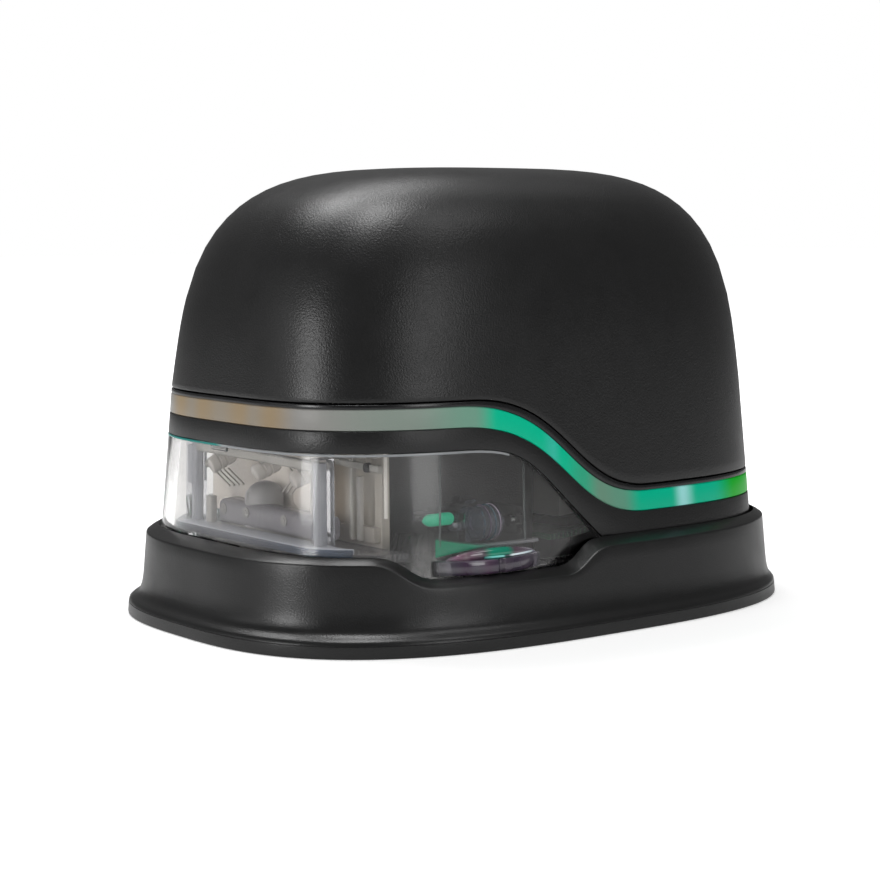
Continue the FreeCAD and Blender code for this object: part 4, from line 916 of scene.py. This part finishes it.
def clear(name, tint, roughness, ior, weight=1.0, coat=0.0):
    """Clear plastic with a trace of flow marks, which lets the lamps light what stands behind it."""
    material, tree, shader = material_named(name)
    mottled(tree, shader, tint, 0.015, 30.0)
    roughen(tree, shader, 70.0, roughness * 0.6, roughness * 1.4)
    uneven(tree, shader, 120.0, 1.0, 0.25, 0.00003)
    set_inputs(shader, {"Transmission Weight": weight, "IOR": ior, "Coat Weight": coat, "Coat Roughness": 0.15})
    shadow = add_node(tree, "LightPath").outputs["Is Shadow Ray"]
    gap = add_node(tree, "BsdfTransparent", {"Color": (*tint, 1)})
    mix = add_node(tree, "MixShader", {"Fac": shadow, 1: shader, 2: gap})
    set_inputs(tree.nodes["Material Output"], {"Surface": mix})
    return material


def metal(name, color, roughness):
    material, tree, shader = material_named(name)
    mottled(tree, shader, color, 0.05, 220.0)
    roughen(tree, shader, 900.0, roughness - 0.06, roughness + 0.08)
    set_inputs(shader, {"Metallic": 1.0})
    return material


def circuit(name):
    """Green solder mask with paler traces."""
    material, tree, shader = material_named(name)
    bricks = on_object(tree, "TexBrick", {
        "Scale": 260.0, "Color1": (0.01, 0.11, 0.05, 1), "Color2": (0.012, 0.13, 0.06, 1),
        "Mortar": (0.04, 0.24, 0.11, 1), "Mortar Size": 0.03,
    })
    roughen(tree, shader, 300.0, 0.3, 0.42)
    set_inputs(shader, {"Base Color": bricks})
    return material


def glow(name, color, strength):
    """Lit lamp."""
    material, tree, shader = material_named(name)
    mottled(tree, shader, color, 0.1, 400.0)
    set_inputs(shader, {"Emission Color": (*color, 1), "Emission Strength": strength})
    return material


def share_round(tree):
    """Share of the way round the device, from 0 at the front to 1 at the rear."""
    place = on_object(tree, "SeparateXYZ").outputs
    across = add_node(tree, "Math", {0: place["X"]}, "ABSOLUTE")
    ahead = add_node(tree, "Math", {0: place["Y"], 1: -1.0}, "MULTIPLY")
    turn = add_node(tree, "Math", {0: across, 1: ahead}, "ARCTAN2")
    return add_node(tree, "Math", {0: turn, 1: math.pi}, "DIVIDE")


WARM_GREY = (0.23, 0.2, 0.16)
AMBER_GREY = (0.25, 0.19, 0.12)
DEEP_GREEN = (0.002, 0.42, 0.24)
TEAL = (0, 0.38, 0.22)
BRIGHT_GREEN = (0, 0.32, 0.01)

# Light guide's colours by the angle from the front, in degrees: unlit grey, then lit green along the sides

BAND_STOPS = [
    (0, *WARM_GREY), (7, *AMBER_GREY), (11, *WARM_GREY), (16, *AMBER_GREY), (23, 0.22, 0.215, 0.205),
    (42, 0.19, 0.23, 0.2), (55, 0.14, 0.28, 0.21), (61, *DEEP_GREEN), (73, *DEEP_GREEN), (77, 0.03, 0.43, 0.31),
    (80, *DEEP_GREEN), (87, 0.03, 0.33, 0.19), (93, 0.12, 0.24, 0.17), (100, 0.1, 0.26, 0.18), (107, *TEAL),
    (117, *TEAL), (120.5, 0.28, 0.62, 0.6), (125, *TEAL), (130, *TEAL), (138, *BRIGHT_GREEN), (180, *BRIGHT_GREEN),
]


def band_material():
    """Frosted light guide whose lamps glow along the sides to the rear."""
    material, tree, shader = material_named("light_guide_glow")
    ramp = color_ramp(tree, share_round(tree), [(angle / 180, *color) for angle, *color in BAND_STOPS], "EASE")
    roughen(tree, shader, 120.0, 0.28, 0.36)
    set_inputs(shader, {"Base Color": ramp, "Emission Color": ramp, "Emission Strength": 0.42,
                        "Specular IOR Level": 0.15})
    return material


def ramped(name, axis, low, high, stops, roughness, values):
    """Plastic whose colour, and glow where it has one, runs along an axis between two places."""
    material, tree, shader = material_named(name)
    place = on_object(tree, "SeparateXYZ").outputs[axis]
    ramp = color_ramp(tree, mapped(tree, place, low * MM, high * MM), stops)
    roughen(tree, shader, 200.0, *roughness)
    set_inputs(shader, {"Base Color": ramp, **values})
    if "Emission Strength" in values:
        set_inputs(shader, {"Emission Color": ramp})
    return material


dock_black = moulded("dock_black_grain", (0.009, 0.009, 0.0092), 0.31, 0.00025, 0.00005)
shell_black = moulded("shell_black_grain", (0.009, 0.009, 0.0092), 0.33)
trim_black = glossy("trim_gloss_black", (0.006, 0.006, 0.007))
clear_wall = clear("clear_wall", (0.715, 0.708, 0.702), 0.03, 1.12, 1.0, 0.8)
clear_inner = clear("clear_inner", (0.8, 0.82, 0.83), 0.08, 1.25)
film_clear = clear("film_clear", (0.45, 0.48, 0.56), 0.1, 1.25, 0.85)
gear_clear = clear("gear_clear", (0.82, 0.84, 0.86), 0.08, 1.08)
# Drum rings: painted reflections in blue and lilac, and a painted pale highlight
ring_painted_blue_reflection = clear("ring_painted_blue_reflection", (0.1, 0.19, 0.24), 0.1, 1.3, 0.2)
ring_painted_lilac_reflection = clear("ring_painted_lilac_reflection", (0.24, 0.19, 0.28), 0.1, 1.3, 0.2)
ring_painted_pale_highlight = clear("ring_painted_pale_highlight", (0.5, 0.42, 0.52), 0.1, 1.3, 0.1)
frosted = clear("frosted_pale", (0.72, 0.72, 0.72), 0.3, 1.45, 0.5)
deck_clear = clear("deck_clear", (0.8, 0.81, 0.84), 0.06, 1.15, 0.95)
bridge_clear = clear("bridge_clear", (0.72, 0.71, 0.68), 0.12, 1.3, 0.6)
smoke_grey = moulded("smoke_grey_satin", (0.33, 0.325, 0.33), 0.3)
frame_clear = clear("frame_clear", (0.78, 0.74, 0.68), 0.15, 1.3, 0.45)
apron_blue = clear("apron_blue_grey", (0.66, 0.69, 0.76), 0.2, 1.3, 0.25)
block_smoke = clear("block_smoke", (0.34, 0.33, 0.36), 0.2, 1.3, 0.35)
# Edge of the clear deck: painted teal light at its left corner, blue-grey across the front
painted_teal_and_blue_edge = ramped("deck_edge_painted_teal_light_to_blue", "X", -34.0, 34.0, [
    (0, 0.02, 0.1, 0.1), (0.14, 0.03, 0.15, 0.14), (0.26, 0.09, 0.1, 0.14), (0.6, 0.1, 0.11, 0.15),
    (0.8, 0.06, 0.09, 0.15), (1, 0.05, 0.08, 0.13),
], (0.12, 0.2), {"Transmission Weight": 0.2})
wing_pale = clear("wing_pale_beige", (0.93, 0.88, 0.82), 0.25, 1.3, 0.35)
post_grey = clear("post_blue_grey", (0.7, 0.72, 0.76), 0.15, 1.3, 0.45)
holder_grey = clear("holder_grey", (0.82, 0.79, 0.75), 0.2, 1.3, 0.35)
fin_grey = moulded("fin_grey_satin", (0.46, 0.44, 0.41), 0.35)
rod_pale = clear("rod_pale", (0.62, 0.61, 0.58), 0.12, 1.35, 0.35)
rod_painted_highlight = clear("rod_painted_highlight", (0.9, 0.88, 0.84), 0.1, 1.35, 0.1)
rib_clear = clear("rib_clear", (0.33, 0.36, 0.36), 0.1, 1.2, 0.8)
rubber = moulded("black_rubber_soft", (0.02, 0.02, 0.02), 0.75, 0.0006, 0.00005, 0.3)
natural = moulded("natural_moulding", (0.62, 0.62, 0.6), 0.45)
cartridge_black = moulded("cartridge_black_grain", (0.02, 0.02, 0.022), 0.4)
battery_wrap = moulded("battery_wrap_film", (0.06, 0.07, 0.1), 0.35)
chip_black = moulded("chip_epoxy", (0.02, 0.02, 0.022), 0.5)
steel = metal("bright_steel", (0.62, 0.62, 0.64), 0.25)
gold = metal("plated_gold", (0.85, 0.62, 0.25), 0.22)
board_green = circuit("solder_mask_green")
band_glow = band_material()
# Position marks: painted reflections as violet and pale stripes round their rims, and a play of colours along the
# raised lens that is painted reflection and painted highlight
mark_rim_painted_reflections = ramped("mark_rim_painted_reflections", "Y", Mark.front, Mark.rear, [
    (0, 0.05, 0.05, 0.06), (0.1, 0.11, 0.1, 0.13), (0.22, 0.07, 0.03, 0.08), (0.3, 0.1, 0.08, 0.12),
    (0.4, 0.11, 0.05, 0.11), (0.5, 0.07, 0.05, 0.09), (0.56, 0.11, 0.08, 0.12), (0.68, 0.06, 0.04, 0.08),
    (0.8, 0.12, 0.09, 0.13), (0.95, 0.13, 0.12, 0.15), (1, 0.06, 0.06, 0.07),
], (0.12, 0.2), {"Transmission Weight": 0.25, "Coat Weight": 0.8, "Coat Roughness": 0.06})
LENS_ENDS = (Mark.front + 2, Mark.rear - 1)
# The lens and its highlight strip glow a little: painted light, under a glossy coat
LENS_PAINTED_GLOW = {"Emission Strength": 0.35, "Coat Weight": 1.0, "Coat Roughness": 0.04}
# Lens colours along Y: painted reflections, pink-white and green spots among purple and dark
mark_lens = ramped("mark_lens_painted_reflections", "Y", *LENS_ENDS, [
    (0, 0.06, 0.04, 0.06), (0.09, 0.09, 0.02, 0.06), (0.16, 0.17, 0.12, 0.14), (0.21, 0.09, 0.04, 0.07),
    (0.34, 0.05, 0.04, 0.05), (0.42, 0.0, 0.2, 0.12), (0.62, 0.0, 0.18, 0.11), (0.7, 0.07, 0.04, 0.06),
    (0.82, 0.09, 0.07, 0.09), (1, 0.06, 0.06, 0.09),
], (0.06, 0.12), LENS_PAINTED_GLOW)
# Painted highlight along the lens: teal to cyan, then white, with a dark gap
mark_painted_glint = ramped("mark_glint_film", "Y", *LENS_ENDS, [
    (0, 0.05, 0.04, 0.05), (0.33, 0.02, 0.12, 0.11), (0.42, 0.15, 0.55, 0.5), (0.54, 0.2, 0.6, 0.55),
    (0.57, 0.03, 0.05, 0.06), (0.61, 0.05, 0.07, 0.08), (0.66, 0.75, 0.85, 0.88), (0.86, 0.6, 0.7, 0.74),
    (1, 0.06, 0.07, 0.1),
], (0.06, 0.12), LENS_PAINTED_GLOW)
# Clear ledge with a painted green glow at its front end, where green light falls on it
ledge_with_painted_glow = ramped("ledge_painted_green_glow_to_clear", "Y", -33.0, -12.0, [
    (0, 0.03, 0.08, 0.06), (0.1, 0.0, 0.17, 0.09), (0.4, 0.0, 0.2, 0.11), (0.5, 0.04, 0.13, 0.1),
    (0.6, 0.1, 0.12, 0.12), (1, 0.16, 0.16, 0.17),
], (0.1, 0.18), {"Emission Strength": 0.28, "Transmission Weight": 0.4})
# Edge of the clear skirt: a painted teal glow on the left of the front clip, a painted pale highlight on the right
painted_edge_light = ramped("skirt_edge_painted_teal_glow_and_highlight", "X", -6.0, 6.0, [
    (0, 0.01, 0.2, 0.18), (0.4, 0.02, 0.24, 0.21), (0.6, 0.3, 0.32, 0.33), (1, 0.26, 0.27, 0.28),
], (0.1, 0.18), {"Emission Strength": 0.3, "Transmission Weight": 0.2})
sensor_green = glow("sensor_green_glow", (0, 0.24, 0.13), 0.9)

NODE_MATERIALS = {
    "dock_black": dock_black, "shell_black": shell_black, "trim_black": trim_black, "light_guide": band_glow,
    "clear_plastic": clear_inner, "black_rubber": rubber, "circuit_green": board_green, "chip_black": chip_black,
    "steel": steel, "contact_gold": gold, "natural_plastic": natural, "cartridge_black": cartridge_black,
    "battery_wrap": battery_wrap, "frosted_plastic": frosted, "smoke_grey": smoke_grey,
}
OWN_MATERIALS = {"front_deck": deck_clear, "lamp_bridge": bridge_clear, "front_frame": frame_clear}


def dress_nodes():
    """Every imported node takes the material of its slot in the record, or its own."""
    for part in frame["record"]["subparts"]:
        node = frame["nodes"][part["node"]]
        material = OWN_MATERIALS.get(part["node"], NODE_MATERIALS[part["material_slot"]])
        node.data.materials.clear()
        node.data.materials.append(material)


# Floor, lamps and camera

ROOM_LIGHT = 0.1
REFLECTED_SHARE = 0.06
FLOOR_REACH = 4.0
TARGET = spot(-6.59, 0.072, 28.538)
CAMERA_DISTANCE = 0.38405
CAMERA_AZIMUTH = 52.937
CAMERA_ELEVATION = 5.927
CAMERA_ROLL = 0.249
FOCAL_SHARE = 2066.55 / 880

# Softboxes round the object: azimuth, elevation, distance, width, height and power

SOFTBOXES = {
    "overhead": (0, 85, 1.2, 0.4, 0.4, 5.8),
    "rear_top": (-80, 60, 1.2, 0.4, 0.4, 4.27),
    "rear_left_top": (-120, 60, 1.2, 0.4, 0.4, 2.2),
    "far_top": (-160, 60, 1.2, 0.4, 0.4, 0.4),
    "right_top": (120, 60, 1.2, 0.4, 0.4, 1.35),
    "front": (0, 10, 1.2, 0.32, 0.36, 3.6),
    "front_left": (-30, 14, 1.2, 0.36, 0.36, 0.35),
    "right_strip": (94, 17, 1.3, 0.3, 0.7, 2.3),
}


def seen_directly(tree):
    """1 for straight rays and those through clear pieces, less for reflections."""
    path = add_node(tree, "LightPath").outputs
    faint = add_node(tree, "Math", {0: path["Is Glossy Ray"], 1: REFLECTED_SHARE}, "MULTIPLY")
    straight = add_node(tree, "Math", {0: path["Is Camera Ray"], 1: path["Is Transmission Ray"]}, "MAXIMUM")
    return add_node(tree, "Math", {0: faint, 1: straight}, "MAXIMUM")


def make_floor():
    """Pale floor that keeps a soft shadow, darkened further near the object by painted shade, and meets the white
    background.
    """
    mesh = bpy.data.meshes.new("floor")
    corners = [(x * FLOOR_REACH, y * FLOOR_REACH, 0) for x, y in ((-1, -1), (1, -1), (1, 1), (-1, 1))]
    mesh.from_pydata(corners, [], [(0, 1, 2, 3)])
    floor = bpy.data.objects.new("floor", mesh)
    bpy.context.scene.collection.objects.link(floor)
    material, tree, shader = material_named("floor_white")
    set_inputs(shader, {"Base Color": (0.8, 0.8, 0.8, 1), "Roughness": 0.9, "Specular IOR Level": 0.1})
    reach = on_object(tree, "VectorMath", operation="LENGTH").outputs["Value"]
    # Glow weaker within a few centimetres of the object: painted shade round its foot
    strength = {0: mapped(tree, reach, 0.07, 0.18, 0.43), 1: seen_directly(tree)}
    shine = add_node(tree, "Emission", {"Strength": add_node(tree, "Math", strength, "MULTIPLY")})
    set_inputs(tree.nodes["Material Output"], {"Surface": add_node(tree, "AddShader", {0: shader, 1: shine})})
    mesh.materials.append(material)


def make_world():
    """Even room light that the camera sees as white."""
    world = bpy.data.worlds.new("room")
    bpy.context.scene.world = world
    world.use_nodes = True
    tree = world.node_tree
    strength = mapped(tree, seen_directly(tree), 0.0, 1.0, ROOM_LIGHT)
    set_inputs(tree.nodes["Background"], {"Color": (1, 1, 1, 1), "Strength": strength})


def direction(azimuth, elevation):
    """Unit vector from the object towards a place seen at an azimuth and an elevation."""
    turn, lift = math.radians(azimuth), math.radians(elevation)
    return Vector((math.sin(turn) * math.cos(lift), -math.cos(turn) * math.cos(lift), math.sin(lift)))


def aim(item, place, target):
    item.location = place
    item.rotation_mode = "QUATERNION"
    item.rotation_quaternion = (target - place).to_track_quat("-Z", "Y")
    bpy.context.scene.collection.objects.link(item)


def make_lamps():
    middle = Vector((0, 0, 0.04))
    for name, (azimuth, elevation, distance, width, height, power) in SOFTBOXES.items():
        lamp = bpy.data.lights.new(name, "AREA")
        lamp.shape = "RECTANGLE"
        lamp.size, lamp.size_y, lamp.energy = width, height, power
        aim(bpy.data.objects.new(name, lamp), middle + direction(azimuth, elevation) * distance, middle)


def make_camera():
    lens = bpy.data.cameras.new("camera")
    lens.sensor_width = 36.0
    lens.lens = FOCAL_SHARE * lens.sensor_width
    lens.clip_start = 0.01
    lens.clip_end = 20.0
    camera = bpy.data.objects.new("camera", lens)
    aim(camera, TARGET + direction(CAMERA_AZIMUTH, CAMERA_ELEVATION) * CAMERA_DISTANCE, TARGET)
    camera.rotation_quaternion @= Quaternion((0, 0, 1), -math.radians(CAMERA_ROLL))
    bpy.context.scene.camera = camera


# The whole model

def bottom_line(y):
    return Form.bottom_level


def housing_low(y):
    """Lower edge of the black shell: the window's edge, then the device's underside."""
    return max(window_edge_line(y), Form.bottom_level)


window_edge_line = window_edge()
thickness, part_gap = Form.band_thickness, Form.part_gap

dress_nodes()
make_hood(shell_black)
ring_piece("trim_smooth", trim_black,
           [(bent_line("band_top", part_gap), bent_line("seam"), thickness, 0.0, 0.18)], "seam_trim")
ring_piece("band_smooth", band_glow,
           [(bent_line("band_bottom"), bent_line("band_top"), thickness, 0.0, 0.2)], "light_band")
ring_piece("housing_smooth", shell_black,
           [(housing_low, bent_line("band_bottom", -part_gap), thickness + 0.4, 0.0, 0.2),
            (bent_line("band_bottom", -3.6), bent_line("seam", 3.0), 1.5, 2.26, 0.1)], "lower_housing")
ring_piece("skirt_smooth", clear_wall,
           [(bottom_line, window_edge(-part_gap), Form.shell_wall, 0.0, 0.25)], "clear_skirt")
for sign, hand in HANDS:
    make_drum(sign, hand)
    make_sensor(sign, hand)
    make_mark_pad(sign, hand)
for sign, hand in HANDS:
    make_ledge(sign, hand)
make_edge_line()
make_apron()
make_sensor_block()
make_bridge()
make_frame_rods()
make_dock(dock_black)
make_floor()
make_world()
make_lamps()
make_camera()

bpy.context.scene.view_settings.view_transform = "Standard"
